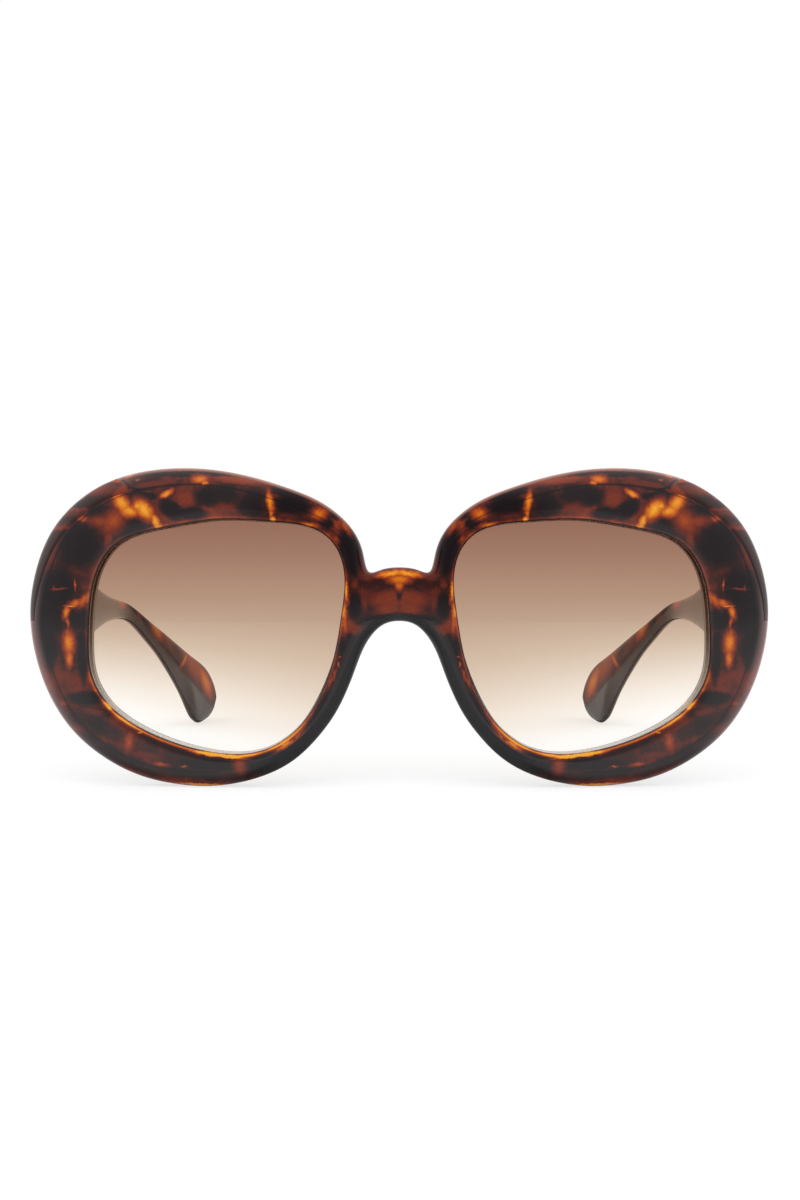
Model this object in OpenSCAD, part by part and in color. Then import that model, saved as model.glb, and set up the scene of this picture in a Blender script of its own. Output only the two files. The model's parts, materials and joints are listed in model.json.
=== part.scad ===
// Oversized sunglasses: a butterfly front, two gradient lenses and two folding temples.
// They stand open on their rim bottoms and temple tips. The front faces -Y, and the
// wearer's left is +X. Each side is drawn for +X and mirrored for -X.

/* [Front] */
// Width of a rim between its lens opening and the temple
rim_side_w = 12.7; // [11.8:0.1:13.6]
// Width of a rim above its lens opening
rim_top_w = 10.6; // [9.8:0.1:11.6]
// Width of a rim below its lens opening
rim_low_w = 7; // [6.4:0.1:7.8]
// Distance between the two lens openings
lens_gap = 22.2; // [21.4:0.1:23.4]
// Thickness of the rims from face to back
rim_t = 5.6; // [5.2:0.1:6.4]
// How far the ends of the front lie behind its middle
front_sag = 4.5; // [3.5:0.1:5.5]
// How far the top and the bottom of the rims lie behind their middle
rim_sag = 1.6; // [1:0.1:2.2]
// Width of the rounded bevel round the outer edge
bevel_w = 3.4; // [2.8:0.1:3.8]
// Depth of the rounded bevel
bevel_d = 2.6; // [2:0.1:3]
// Width of the fine bevel round a lens
lip_w = 0.8; // [0.5:0.1:1.1]
// Depth of the fine bevel round a lens
lip_d = 0.7; // [0.4:0.1:1]
// Swell of the face between its bevels
pillow = 0.3; // [0:0.1:0.5]
// Rounding of the back edges
back_round = 0.8; // [0.4:0.1:1.2]
// How far the middle of the bridge lies back from the faces of the rims
bridge_dip = 1.4; // [0:0.1:1.8]
// Depth of the moulded nose pads behind the rims
pad_d = 4.5; // [3:0.1:5]

/* [Lenses] */
// Width of a lens opening
lens_w = 52.2; // [50:0.2:54]
// Height of a lens opening
lens_h = 47.4; // [45.6:0.2:49]
// Thickness of a lens
lens_t = 2; // [1.6:0.1:2.2]
// Depth from the face of the rim to the middle of the lens groove
lens_inset = 2.6; // [2.4:0.1:2.9]
// Depth of the lens groove
groove_d = 0.9; // [0.6:0.1:1.1]
// Width of the mouth of the lens groove
groove_w = 2.4; // [2.3:0.1:2.8]
// Clearance of a lens in its groove
lens_fit = 0.12; // [0.08:0.01:0.2]

/* [Temples] */
// Depth of the whole part, from the front to the temple tips
overall_d = 150; // [142:1:156]
// Thickness of a temple behind its hinge
arm_t = 4.2; // [3.8:0.1:4.6]
// How far the temples close in towards their tips
tip_inset = 12; // [8:0.5:14]
// Distance from the front over which the inner face of a temple runs straight
straight_d = 22; // [21:0.5:26]
// Width of the temple root where it wraps the rim at the top seam
wrap_w = 3.7; // [3.2:0.1:4]
// Width of the temple root at its lower end
wrap_end_w = 1.3; // [1.1:0.1:1.8]
// Gap between a temple root and the front
seam_gap = 0.3; // [0.2:0.05:0.4]

/* [Hinges] */
// Distance of a hinge axis from the outer side of its rim
hinge_inset = 5.4; // [5:0.1:6]
// Height of the middle of a hinge above the middle of a lens
hinge_lift = 9.5; // [8.2:0.1:11]
// Height of a hinge
hinge_h = 6.4; // [6:0.1:7]
// Radius of a knuckle
knuckle_r = 1.6; // [1.5:0.05:1.7]
// Distance from the back of the front leaf to the hinge axis
knuckle_rise = 1.3; // [1.2:0.05:1.4]
// Depth of the back of the front leaf below the back of the rim
leaf_sink = 0.5; // [0.4:0.05:0.7]
// Thickness of a hinge leaf
leaf_t = 1; // [0.8:0.05:1.1]
// Length of the front leaf inboard of the hinge axis
front_leaf_l = 6.2; // [5.8:0.1:6.4]
// Length of the temple leaf behind the hinge axis
temple_leaf_l = 9.6; // [9:0.1:11]
// Height of the temple leaf
temple_leaf_h = 5.2; // [4.6:0.1:5.6]
// Distance from the hinge axis out to the inner face of a temple
face_gap = 0.4; // [0.3:0.05:0.5]
// Play of a pocket round its hinge
pocket_play = 0.25; // [0.15:0.05:0.35]
// Play between two knuckles
knuckle_play = 0.05; // [0.03:0.01:0.1]
// Diameter of the shank of the pivot screw
pivot_d = 1.4; // [1.2:0.1:1.6]
// Radial running clearance of the pivot screw
pivot_fit = 0.03; // [0.02:0.01:0.05]
// Diameter of the head of the pivot screw
pivot_head_d = 2.3; // [2:0.1:2.5]
// Height of the head of the pivot screw
pivot_head_h = 0.7; // [0.5:0.1:0.9]
// Diameter of the shank of a leaf screw
screw_d = 1.2; // [1:0.1:1.3]
// Length of the shank of a leaf screw in the plastic
screw_l = 2.4; // [2:0.1:2.6]
// Diameter of the head of a leaf screw
screw_head_d = 2; // [1.8:0.1:2.2]
// Height of the head of a leaf screw
screw_head_h = 0.5; // [0.4:0.05:0.6]
// Radial clearance of a leaf screw
screw_fit = 0.02; // [0.01:0.01:0.04]
// Distance between the two screws of a leaf
screw_pitch = 3.2; // [3:0.1:3.4]
// Width of a screw slot
slot_w = 0.4; // [0.3:0.05:0.5]

/* [Hidden] */

tortoise = [0.32, 0.16, 0.11];
lens_tint = [0.72, 0.55, 0.45, 0.55];
nickel = [0.75, 0.74, 0.72];

// Outer outline of one half, from the top of the bridge round the rim to the top of the nose
// arch. Each row has shares of half the width, of the height and of the width of the bevel.
outline_shares = [
    [0, 0.689, 0.5], [0.047, 0.682, 0.5], [0.083, 0.677, 0.45], [0.099, 0.743, 0.5],
    [0.134, 0.82, 0.7], [0.204, 0.889, 0.9], [0.296, 0.937, 1], [0.408, 0.977, 1],
    [0.526, 1, 1.05], [0.645, 1, 1.15], [0.758, 0.974, 1.2], [0.853, 0.9175, 1.2],
    [0.929, 0.83, 1.15], [0.976, 0.721, 1.1], [0.999, 0.6, 1.05], [0.999, 0.492, 1],
    [0.982, 0.389, 1], [0.946, 0.279, 0.95], [0.885, 0.173, 0.9], [0.8, 0.089, 0.9],
    [0.698, 0.03, 0.95], [0.587, 0.003, 1], [0.48, 0.002, 1], [0.375, 0.029, 0.95],
    [0.28, 0.086, 0.85], [0.205, 0.174, 0.7], [0.157, 0.26, 0.6], [0.121, 0.358, 0.55],
    [0.092, 0.442, 0.5], [0.05, 0.503, 0.5], [0, 0.52, 0.5]];
// Radius of a lens opening every 15 degrees, counted from its temple side over the top, in
// shares of half its width along X and of its height divided by its height share along Z
opening_shares = [1, 1.023, 1.077, 1.082, 0.996, 0.941, 0.941, 0.972, 1.06, 1.178, 1.146, 1.022,
    0.946, 0.919, 0.917, 0.928, 0.93, 0.905, 0.868, 0.852, 0.868, 0.916, 0.98, 1.01];
// Side view of a temple behind its hinge. Each row has a share of the depth of the part, shares
// of the height of the front for the upper and the lower edge, a share of the thickness, and the
// share of its own height that slants on the inner side.
arm_shares = [
    [0.08, 0.831, 0.498, 1.05, 0], [0.107, 0.76, 0.482, 1, 0], [0.133, 0.717, 0.473, 1, 0],
    [0.173, 0.685, 0.462, 0.98, 0], [0.22, 0.664, 0.462, 0.95, 0], [0.253, 0.646, 0.47, 0.92, 0],
    [0.293, 0.616, 0.494, 0.88, 0.05], [0.347, 0.592, 0.512, 0.82, 0.1],
    [0.407, 0.575, 0.511, 0.78, 0.15], [0.467, 0.543, 0.482, 0.76, 0.2],
    [0.533, 0.502, 0.424, 0.76, 0.25], [0.6, 0.463, 0.362, 0.78, 0.3],
    [0.673, 0.42, 0.281, 0.82, 0.35], [0.773, 0.36, 0.152, 0.88, 0.42],
    [0.84, 0.321, 0.05, 0.9, 0.48], [0.887, 0.294, 0.007, 0.88, 0.5],
    [0.927, 0.266, 0, 0.84, 0.5], [0.96, 0.231, 0.008, 0.74, 0.45],
    [0.983, 0.192, 0.033, 0.58, 0.3], [1, 0.135, 0.085, 0.25, 0]];

// Places along the outline, counted in its rows
outline_end = len(outline_shares) - 1;
seam_top_share = 10.07;
seam_crease_share = 9.75;
seam_low_share = 14.75;
seam_step_share = 0.12;
seam_play_share = 0.07;
pad_middle_share = 26.2;
pad_reach_share = 3.4;
wrap_taper_share = 1.7;
dip_flat_share = 0.034;
dip_flank_share = 0.03;
lens_low_share = 0.481;
opening_height_share = 1.816;

// Shares of the section of a rim
bevel_shares = [0, 0.45, 0.82, 1];
// Rows of the bevel of a temple root: reach across the wrap and depth down its inner wall
wrap_rows_share = [[0.12, 0], [0.4, 0.35], [0.75, 0.7], [1, 1]];
wall_share = 0.55;
pad_lean_share = 0.5;
pad_lens_share = 0.2;
lip_back_share = 0.5;

// Root of a temple behind the front. Each row has its distance behind the hinge axis as a share
// of the radius of a knuckle, its top as a place along the outline, and how much of its inner
// side keeps outboard of the hinge axis.
root_rows_share = [[-0.06, 10.07, 0], [0.06, 10.7, 0], [0.25, 11.3, 0], [0.5, 11.8, 0.7],
    [0.8, 12.3, 1]];
blend_start_share = 0.083;
blend_end_share = 0.143;
section_square_share = 2.6;

// Fineness of the curved pieces
top_steps = 26;
wrap_steps = 12;
low_steps = 38;
seam_steps = 4;
lens_steps = 72;
root_steps = 9;
arm_steps = 22;
settle_steps = 12;
pin_faces = 48;

front_w = lens_gap + 2 * (lens_w + rim_side_w);
front_h = rim_low_w + lens_h + rim_top_w;
lens_x = (lens_gap + lens_w) / 2;
lens_z = rim_low_w + lens_low_share * lens_h;
hinge_x = front_w / 2 - hinge_inset;
hinge_z = lens_z + hinge_lift;
groove_front = lens_inset - groove_w / 2;
groove_back = lens_inset + groove_w / 2;
lip_back = lip_back_share * lip_w;
front_y = -overall_d / 2;
leaf_y = sheet([hinge_x, hinge_z]) + rim_t - leaf_sink;
hinge_y = leaf_y + knuckle_rise;
face_x = hinge_x + face_gap;
middle_h = hinge_h / 3;
leaf_screw_x = hinge_x - front_leaf_l + screw_head_d;
leaf_screw_y = hinge_y + temple_leaf_l - screw_head_d - screw_pitch / 2;

function lerp(a, b, share) = a + (b - a) * share;
function smooth(share) = let(s = max(0, min(1, share))) s * s * (3 - 2 * s);

// Control values of a closed cubic curve that passes through the values p
function settled(p, q, rounds) = rounds <= 0 ? q : let(n = len(p))
    settled(p, [for (i = [0:n - 1]) q[i] + p[i] - (q[(i + n - 1) % n] + 4 * q[i] + q[(i + 1) % n]) / 6],
        rounds - 1);
function near_values(q, t) = let(n = len(q), i = floor(t)) [for (k = [-1:2]) q[(i + k + n) % n]];
function curve(q, t) = let(f = t - floor(t), v = near_values(q, t))
    ((1 - f) ^ 3 * v[0] + (3 * f ^ 3 - 6 * f ^ 2 + 4) * v[1]
    + (3 * f ^ 2 + 3 * f - 3 * f ^ 3 + 1) * v[2] + f ^ 3 * v[3]) / 6;
function curve_slope(q, t) = let(f = t - floor(t), v = near_values(q, t))
    ((3 * f ^ 2 - 4 * f) * v[1] - (1 - f) ^ 2 * v[0]
    + (1 + 2 * f - 3 * f ^ 2) * v[2] + f ^ 2 * v[3]) / 2;
// A half curve and its way back, as one closed curve
function there_and_back(rows, side) = concat(rows, [for (i = [len(rows) - 2:-1:1])
    [for (k = [0:len(rows[i]) - 1]) k == 0 ? side * rows[i][k] : rows[i][k]]]);

outline_rows = there_and_back(
    [for (r = outline_shares) [r[0] * front_w / 2, r[1] * front_h, r[2] * bevel_w]], -1);
outline_curve = settled(outline_rows, outline_rows, settle_steps);
opening_curve = settled(opening_shares, opening_shares, settle_steps);
arm_rows = there_and_back([for (r = arm_shares)
    [r[0] * overall_d, r[1] * front_h, r[2] * front_h, r[3] * arm_t, r[4]]], 1);
arm_curve = settled(arm_rows, arm_rows, settle_steps);

// The curved sheet that carries the front and the lenses: how far back it lies at [x, z]
function sheet(p) = front_sag * (2 * p[0] / front_w) ^ 2 + rim_sag * (p[1] / (front_h / 2) - 1) ^ 2;
function face_sheet(p) = sheet(p)
    + bridge_dip * (1 - smooth((p[0] / front_w - dip_flat_share) / dip_flank_share));
function on_sheet(p, back) = [p[0], sheet(p) + back, p[1]];
function on_face(p, back) = [p[0], face_sheet(p) + back, p[1]];

function outline_at(t) = let(p = curve(outline_curve, t)) [p[0], p[1]];
function bevel_at(t) = curve(outline_curve, t)[2];
// Unit vector from the outline into the rim
function inward(t) = let(s = curve_slope(outline_curve, t), v = [s[1], -s[0]]) v / norm(v);
function ray(angle) = [cos(angle), sin(angle)];
function opening_offset(angle) = curve(opening_curve, (angle + 360) / 360 * len(opening_shares))
    * [cos(angle) * lens_w / 2, sin(angle) * lens_h / opening_height_share];
function opening_point(angle, out) = [lens_x, lens_z] + opening_offset(angle) + out * ray(angle);
function angle_at(t) = let(v = outline_at(t) - [lens_x, lens_z]) atan2(v[1], v[0]);
// Depth of the rounded bevel at a share of the way from its crease to the outline
function bevel_back(share) = bevel_d * (1 - sqrt(1 - max(0, min(1, share)) ^ 2));
// Width of the wrap of the temple root at a share of the seam
function wrap_at(share) = lerp(wrap_w, wrap_end_w, share ^ wrap_taper_share);
// Rounding of the back edge: it fades where the temple root butts against the front
function round_at(t) = back_round * smooth(abs(t - seam_top_share));
function pad_at(t) = let(s = abs(t - pad_middle_share) / pad_reach_share) s < 1 ? cos(90 * s) ^ 2 : 0;

// Stations round one rim: places of the opening, the crease and the outer edge, width of the wrap
stations = concat(
    [for (i = [0:top_steps]) let(t = seam_top_share * i / top_steps)
        [t, min(t, seam_crease_share), t, 0]],
    [for (i = [0:wrap_steps]) let(s = i / wrap_steps,
        t = lerp(seam_crease_share, seam_low_share, s))
        [lerp(seam_top_share + seam_step_share, seam_low_share - seam_step_share, s),
            t, t, wrap_at(s)]],
    [for (i = [0:low_steps]) let(t = lerp(seam_low_share, outline_end, i / low_steps)) [t, t, t, 0]]);

// Back lip and lens groove at one place of the opening
function groove_points(inner, out) = [
    on_sheet(inner, rim_t - lip_back), on_sheet(inner, groove_back),
    on_sheet(inner + groove_d * out, lens_inset), on_sheet(inner, groove_front)];

// Section of the rim at one station, as a closed ring of points
function rim_ring(station) = let(
    opening_angle = angle_at(station[0]), out = ray(opening_angle), wrap = station[3],
    edge = outline_at(station[2]) + wrap * inward(station[2]),
    back_place = wrap > 0 ? max(station[2], seam_top_share) : station[2],
    back_edge = outline_at(back_place) + wrap * inward(back_place),
    crease = outline_at(station[1]) + bevel_at(station[1]) * inward(station[1]),
    cut_share = 1 - wrap / bevel_at(station[2]), pad = pad_at(station[0]),
    depth = norm(edge - crease),
    inner = opening_point(opening_angle, 0), lip = inner + lip_w * out,
    round_in = (crease - edge) / depth * round_at(station[2]), width = norm(edge - inner),
    pad_out = (inner - edge) * pad_lean_share * pad)
    [on_face(inner, lip_d), on_face(lip, 0), on_face((lip + crease) / 2, -pillow),
        for (s = bevel_shares) on_face(lerp(crease, edge, s), bevel_back(s * cut_share)),
        on_sheet(edge, rim_t - back_round),
        on_sheet(back_edge + round_in + pad_out, rim_t + pad_d * pad),
        on_sheet(inner + (lip_back - pad_lens_share * width * pad) * out, rim_t + pad_d * pad),
        each groove_points(inner, out)];

// Section on the way from the nose arch back to the top of the bridge, along the middle plane
function bridge_ring(first, last, share) = let(
    angle = lerp(angle_at(outline_end), angle_at(0), share), out = ray(angle),
    inner = opening_point(angle, 0), lip = inner + lip_w * out,
    front_z = lerp(last[face_row][2], first[face_row][2], share),
    back_z = lerp(last[back_row][2], first[back_row][2], share))
    [on_face(inner, lip_d), on_face(lip, 0), on_face((lip + [0, front_z]) / 2, -pillow),
        for (k = [face_row:back_row - 1]) on_face([0, front_z], 0),
        on_sheet([0, back_z], rim_t), on_sheet(inner + lip_back * out, rim_t),
        each groove_points(inner, out)];

face_row = 3;
back_row = 8;
rim_rings = [for (s = stations) rim_ring(s)];
last_rim = len(rim_rings) - 1;
middle_rings = [for (i = [1:seam_steps - 1])
    bridge_ring(rim_rings[0], rim_rings[last_rim], i / seam_steps)];
// Points that lie in the middle plane are set there exactly
half_rings = [for (k = [0:last_rim + seam_steps - 1]) let(ring = k <= last_rim ? rim_rings[k]
    : middle_rings[k - last_rim - 1]) [for (j = [0:len(ring) - 1])
        let(shared = (k == 0 || k >= last_rim) && j >= face_row && j <= back_row)
        shared ? [0, ring[j][1], ring[j][2]] : ring[j]]];

// The front as one closed skin: both halves share their points in the middle plane
module front_skin() {
    rows = len(half_rings[0]);
    count = len(half_rings);
    half = [for (ring = half_rings) each ring];
    function right(k, j) = (k % count) * rows + j % rows;
    function left(k, j) = let(i = right(k, j)) half[i][0] == 0 ? i : i + len(half);
    open_wall = [for (k = [0:count - 1], j = [0:rows - 1])
        if (k < last_rim || j < face_row || j >= back_row) [k, j]];
    polyhedron(concat(half, [for (p = half) [-p[0], p[1], p[2]]]), [for (c = open_wall) each
        let(k = c[0], j = c[1]) [
            [right(k, j), right(k + 1, j + 1), right(k + 1, j)],
            [right(k, j), right(k, j + 1), right(k + 1, j + 1)],
            [left(k, j), left(k + 1, j), left(k + 1, j + 1)],
            [left(k, j), left(k + 1, j + 1), left(k, j + 1)]]], convexity = 10);
}

// A closed skin through rings of equal length. Each end is closed by a strip between the first
// half of its ring and the second.
module ring_skin(rings) {
    rows = len(rings[0]);
    end = (len(rings) - 1) * rows;
    strip = [for (j = [0:rows / 2 - 2]) each [[j, j + 1, rows - 2 - j], [j, rows - 2 - j, rows - 1 - j]]];
    polyhedron([for (ring = rings) each ring], concat(
        [for (a = [0:rows:end - rows], j = [0:rows - 1]) each let(n = (j + 1) % rows)
            [[a + j, a + rows + n, a + n], [a + j, a + rows + j, a + rows + n]]],
        strip, [for (f = strip) [end + f[0], end + f[2], end + f[1]]]), convexity = 6);
}

function lens_ring(share, out, back) = [for (i = [0:lens_steps - 1]) let(a = -360 * i / lens_steps)
    on_sheet([lens_x, lens_z] + share * (opening_offset(a) + out * ray(a)), back)];
function lens_middle(back) = on_sheet([lens_x, lens_z], back);

// A lens: a bent shell with a ridge round its edge for the groove
module lens() {
    near = lens_inset - lens_t / 2;
    far = lens_inset + lens_t / 2;
    rings = [lens_ring(0.5, 0, near), lens_ring(1, -lens_fit, near),
        lens_ring(1, groove_d - lens_fit, lens_inset), lens_ring(1, -lens_fit, far),
        lens_ring(0.5, 0, far)];
    n = lens_steps;
    last = len(rings) - 1;
    points = concat([for (r = rings) each r], [lens_middle(near), lens_middle(far)]);
    polyhedron(points, concat(
        [for (k = [0:last - 1], j = [0:n - 1]) each let(a = k * n, b = (j + 1) % n)
            [[a + j, a + n + b, a + b], [a + j, a + n + j, a + n + b]]],
        [for (j = [0:n - 1]) [len(points) - 2, j, (j + 1) % n]],
        [for (j = [0:n - 1]) [len(points) - 1, last * n + (j + 1) % n, last * n + j]]), convexity = 4);
}

// Outer and inner points of the wrap at a share of the seam. The seam slants on the face of
// the rim and is square to the outline at its back.
wrap_top = seam_top_share + seam_play_share;
wrap_low = seam_low_share - seam_play_share;
function wrap_outer(share) = outline_at(lerp(wrap_top, wrap_low, share));
function wrap_inner(share, square) = let(
    t = max(lerp(seam_crease_share + seam_play_share, wrap_low, share), square * wrap_top))
    outline_at(t) + (wrap_at(share) - seam_gap) * inward(t);
root_shares = [for (i = [0:root_steps]) i / root_steps];
// Depth of the bevel of the wrap at a share of the seam and a reach across the wrap
function wrap_back(share, reach) = let(bevel = bevel_at(lerp(wrap_top, wrap_low, share)))
    bevel_back(1 - (wrap_at(share) - seam_gap) * (1 - reach) / bevel);
// A ring has its outer points from the top down, then its inner points from the bottom up
function wrap_bevel_ring(reach, down) = concat(
    [for (s = root_shares) on_face(lerp(wrap_inner(s, 0), wrap_outer(s), reach), wrap_back(s, reach))],
    [for (i = [root_steps:-1:0]) let(s = root_shares[i])
        on_face(wrap_inner(s, 0), lerp(wrap_back(s, 0) + seam_gap, wall_share * rim_t, down))]);
function wrap_wall_ring(outer_back, inner_back) = concat(
    [for (s = root_shares) on_sheet(wrap_outer(s), outer_back)],
    [for (i = [root_steps:-1:0]) on_sheet(wrap_inner(root_shares[i], 1), inner_back)]);
root_start_y = hinge_y + root_rows_share[0][0] * knuckle_r;
// Where the root butts against the back of the front
function butt_ring() = concat(
    [for (s = root_shares) let(p = wrap_outer(s))
        [p[0], (sheet(p) + rim_t - seam_gap + root_start_y) / 2, p[1]]],
    [for (i = [root_steps:-1:0]) let(p = wrap_inner(root_shares[i], 1))
        on_sheet([min(p[0], face_x), p[1]], rim_t + 3 * seam_gap / 2)]);
// The root behind the front, with its top end at a place along the outline. What lies behind
// the hinge axis keeps outboard of it, so that it can swing in behind the front.
function root_ring(y, top_t, outboard) = concat(
    [for (s = root_shares) let(p = outline_at(lerp(top_t, seam_low_share, s))) [p[0], y, p[1]]],
    [for (i = [root_steps:-1:0]) let(t = lerp(top_t, seam_low_share, root_shares[i]),
        p = outline_at(t) + (wrap_w - 3 * seam_gap) * inward(t))
        [min(max(p[0], outboard * (hinge_x - seam_gap)), face_x), y, p[1]]]);

function arm_inner_x(y) = face_x - tip_inset * max(0, y - straight_d) / (overall_d - straight_d);
// One point of the rounded section of the arm
function arm_point(row, angle) = let(
    half_t = row[3] / 2, half_h = (row[1] - row[2]) / 2,
    c = cos(angle), s = sin(angle),
    across = sign(c) * abs(c) ^ (2 / section_square_share),
    up = sign(s) * abs(s) ^ (2 / section_square_share),
    height_share = (up + 1) / 2,
    slant = across < 0 && row[4] > 0 ? max(0, 1 - height_share / row[4]) : 0)
    [arm_inner_x(row[0]) + half_t * (1 + across) + slant * row[3] * row[4], row[0],
        row[2] + half_h * (1 + up)];
function arm_ring(row) = let(n = root_steps + 1) [for (k = [0:2 * n - 1])
    arm_point(row, 90 - 180 * (k + 0.5) / n)];
function blended_ring(row) = let(arm = arm_ring(row),
    root = root_ring(row[0], root_rows_share[len(root_rows_share) - 1][1], 1),
    share = smooth((row[0] / overall_d - blend_start_share) / (blend_end_share - blend_start_share)))
    [for (j = [0:len(arm) - 1]) lerp(root[j], arm[j], share)];

arm_end = len(arm_shares) - 1;
temple_rings = concat(
    [for (r = wrap_rows_share) wrap_bevel_ring(r[0], r[1])],
    [wrap_wall_ring(rim_t - back_round - seam_gap, rim_t - back_round),
        wrap_wall_ring(rim_t - seam_gap, rim_t + seam_gap), butt_ring()],
    [for (r = root_rows_share) root_ring(hinge_y + r[0] * knuckle_r, r[1], r[2])],
    [for (i = [1:arm_steps]) blended_ring(curve(arm_curve, arm_end * i / arm_steps))]);

// Space round the knuckles, seen from the front
module knuckle_room(inboard, outboard, near, far) {
    translate([hinge_x - inboard, near, hinge_z - hinge_h / 2 - pocket_play])
        cube([inboard + outboard, far - near, hinge_h + 2 * pocket_play]);
}

module temple() color(tortoise) difference() {
    ring_skin(temple_rings);
    knuckle_room(front_leaf_l, knuckle_r + pocket_play, 0, hinge_y + knuckle_r + pocket_play);
    translate([face_x - temple_leaf_l, hinge_y, hinge_z - temple_leaf_h / 2 - pocket_play])
        cube([temple_leaf_l + leaf_t, temple_leaf_l + pocket_play, temple_leaf_h + 2 * pocket_play]);
    temple_screw_places() pilot_hole();
}

module front_body() difference() {
    front_skin();
    for (side = [1, -1]) on_side(side) {
        knuckle_room(front_leaf_l + pocket_play, front_leaf_l, leaf_y - leaf_t, overall_d);
        front_screw_places() pilot_hole();
    }
}

// Places of the leaf screws on the inner side of each leaf, pointing into the plastic
module front_screw_places() for (k = [-1, 1])
    translate([leaf_screw_x, leaf_y - leaf_t, hinge_z + k * screw_pitch / 2])
        rotate([90, 0, 0]) children();
module temple_screw_places() for (k = [-1, 1])
    translate([face_x + leaf_t, leaf_screw_y + k * screw_pitch / 2, hinge_z])
        rotate([0, 90, 0]) children();

// A round bar along Z from one height to another
module bar(d, low, high) translate([0, 0, low]) cylinder(d = d, h = high - low, $fn = pin_faces);

module leaf_screw() difference() {
    union() {
        bar(screw_d, -leaf_t, screw_l);
        bar(screw_head_d, -leaf_t, screw_head_h - leaf_t);
    }
    translate([-screw_head_d, -slot_w / 2, -leaf_t - slot_w / 2])
        cube([2 * screw_head_d, slot_w, slot_w]);
}

module leaf_screw_hole() {
    bar(screw_d + 2 * screw_fit, -2 * leaf_t, leaf_t);
    bar(screw_head_d + 2 * screw_fit, -2 * leaf_t, screw_head_h - leaf_t);
}

module pilot_hole() bar(screw_d + 2 * screw_fit, -leaf_t, screw_l + pocket_play);

module pivot_bore() {
    translate([hinge_x, hinge_y, hinge_z])
        bar(pivot_d + 2 * pivot_fit, -hinge_h, hinge_h);
}

module front_hinge() color(nickel) difference() {
    union() {
        translate([hinge_x - front_leaf_l, leaf_y - leaf_t, hinge_z - hinge_h / 2])
            cube([front_leaf_l + knuckle_r / 2, leaf_t, hinge_h]);
        translate([hinge_x, hinge_y, hinge_z]) bar(2 * knuckle_r, -hinge_h / 2, hinge_h / 2);
    }
    translate([hinge_x - knuckle_r - pocket_play, leaf_y - 2 * leaf_t, hinge_z - middle_h / 2])
        cube([3 * knuckle_r, 3 * leaf_t + 2 * knuckle_r, middle_h]);
    pivot_bore();
    translate([hinge_x, hinge_y, hinge_z])
        bar(pivot_head_d + 2 * pivot_fit, hinge_h / 2 - pivot_head_h, hinge_h);
    front_screw_places() leaf_screw_hole();
}

module temple_hinge() color(nickel) difference() {
    middle_top = middle_h / 2 - knuckle_play;
    union() {
        translate([face_x, hinge_y + knuckle_r + pocket_play, hinge_z - temple_leaf_h / 2])
            cube([leaf_t, temple_leaf_l - knuckle_r - pocket_play, temple_leaf_h]);
        translate([face_x, hinge_y, hinge_z - middle_top])
            cube([leaf_t, temple_leaf_l / 2, 2 * middle_top]);
        translate([hinge_x, hinge_y, hinge_z]) bar(2 * knuckle_r, -middle_top, middle_top);
    }
    pivot_bore();
    temple_screw_places() leaf_screw_hole();
}

module pivot_screw() color(nickel) translate([hinge_x, hinge_y, hinge_z]) difference() {
    union() {
        bar(pivot_d, -hinge_h / 2, hinge_h / 2);
        bar(pivot_head_d, hinge_h / 2 - pivot_head_h, hinge_h / 2);
    }
    translate([-pivot_head_d, -slot_w / 2, hinge_h / 2 - slot_w])
        cube([2 * pivot_head_d, slot_w, 2 * slot_w]);
}

module on_side(side) { if (side > 0) children(); else mirror([1, 0, 0]) children(); }
module placed(side) translate([0, front_y, 0]) on_side(side) children();

module front_frame() placed(1) color(tortoise) front_body();
module lens_left() placed(1) color(lens_tint) lens();
module lens_right() placed(-1) color(lens_tint) lens();
module temple_left() placed(1) temple();
module temple_right() placed(-1) temple();
module front_hinge_left() placed(1) front_hinge();
module front_hinge_right() placed(-1) front_hinge();
module temple_hinge_left() placed(1) temple_hinge();
module temple_hinge_right() placed(-1) temple_hinge();
module pivot_screw_left() placed(1) pivot_screw();
module pivot_screw_right() placed(-1) pivot_screw();
module front_leaf_screws_left() placed(1) color(nickel) front_screw_places() leaf_screw();
module front_leaf_screws_right() placed(-1) color(nickel) front_screw_places() leaf_screw();
module temple_leaf_screws_left() placed(1) color(nickel) temple_screw_places() leaf_screw();
module temple_leaf_screws_right() placed(-1) color(nickel) temple_screw_places() leaf_screw();

front_frame();
lens_left();
lens_right();
temple_left();
temple_right();
front_hinge_left();
front_hinge_right();
temple_hinge_left();
temple_hinge_right();
pivot_screw_left();
pivot_screw_right();
front_leaf_screws_left();
front_leaf_screws_right();
temple_leaf_screws_left();
temple_leaf_screws_right();
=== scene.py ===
"""Oversized tortoise sunglasses: the looks of the front, the lenses, the temples and the hinges.

The part stands open on its rim bottoms and temple tips, in metres. The front faces -Y and
the wearer's left is +X. Sizes are in millimetres, and each side is drawn for +X and
mirrored for -X. Depths are counted from the front plane backwards.
"""

import json
import logging
import math
from dataclasses import dataclass
from enum import Enum
from functools import cached_property

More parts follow.
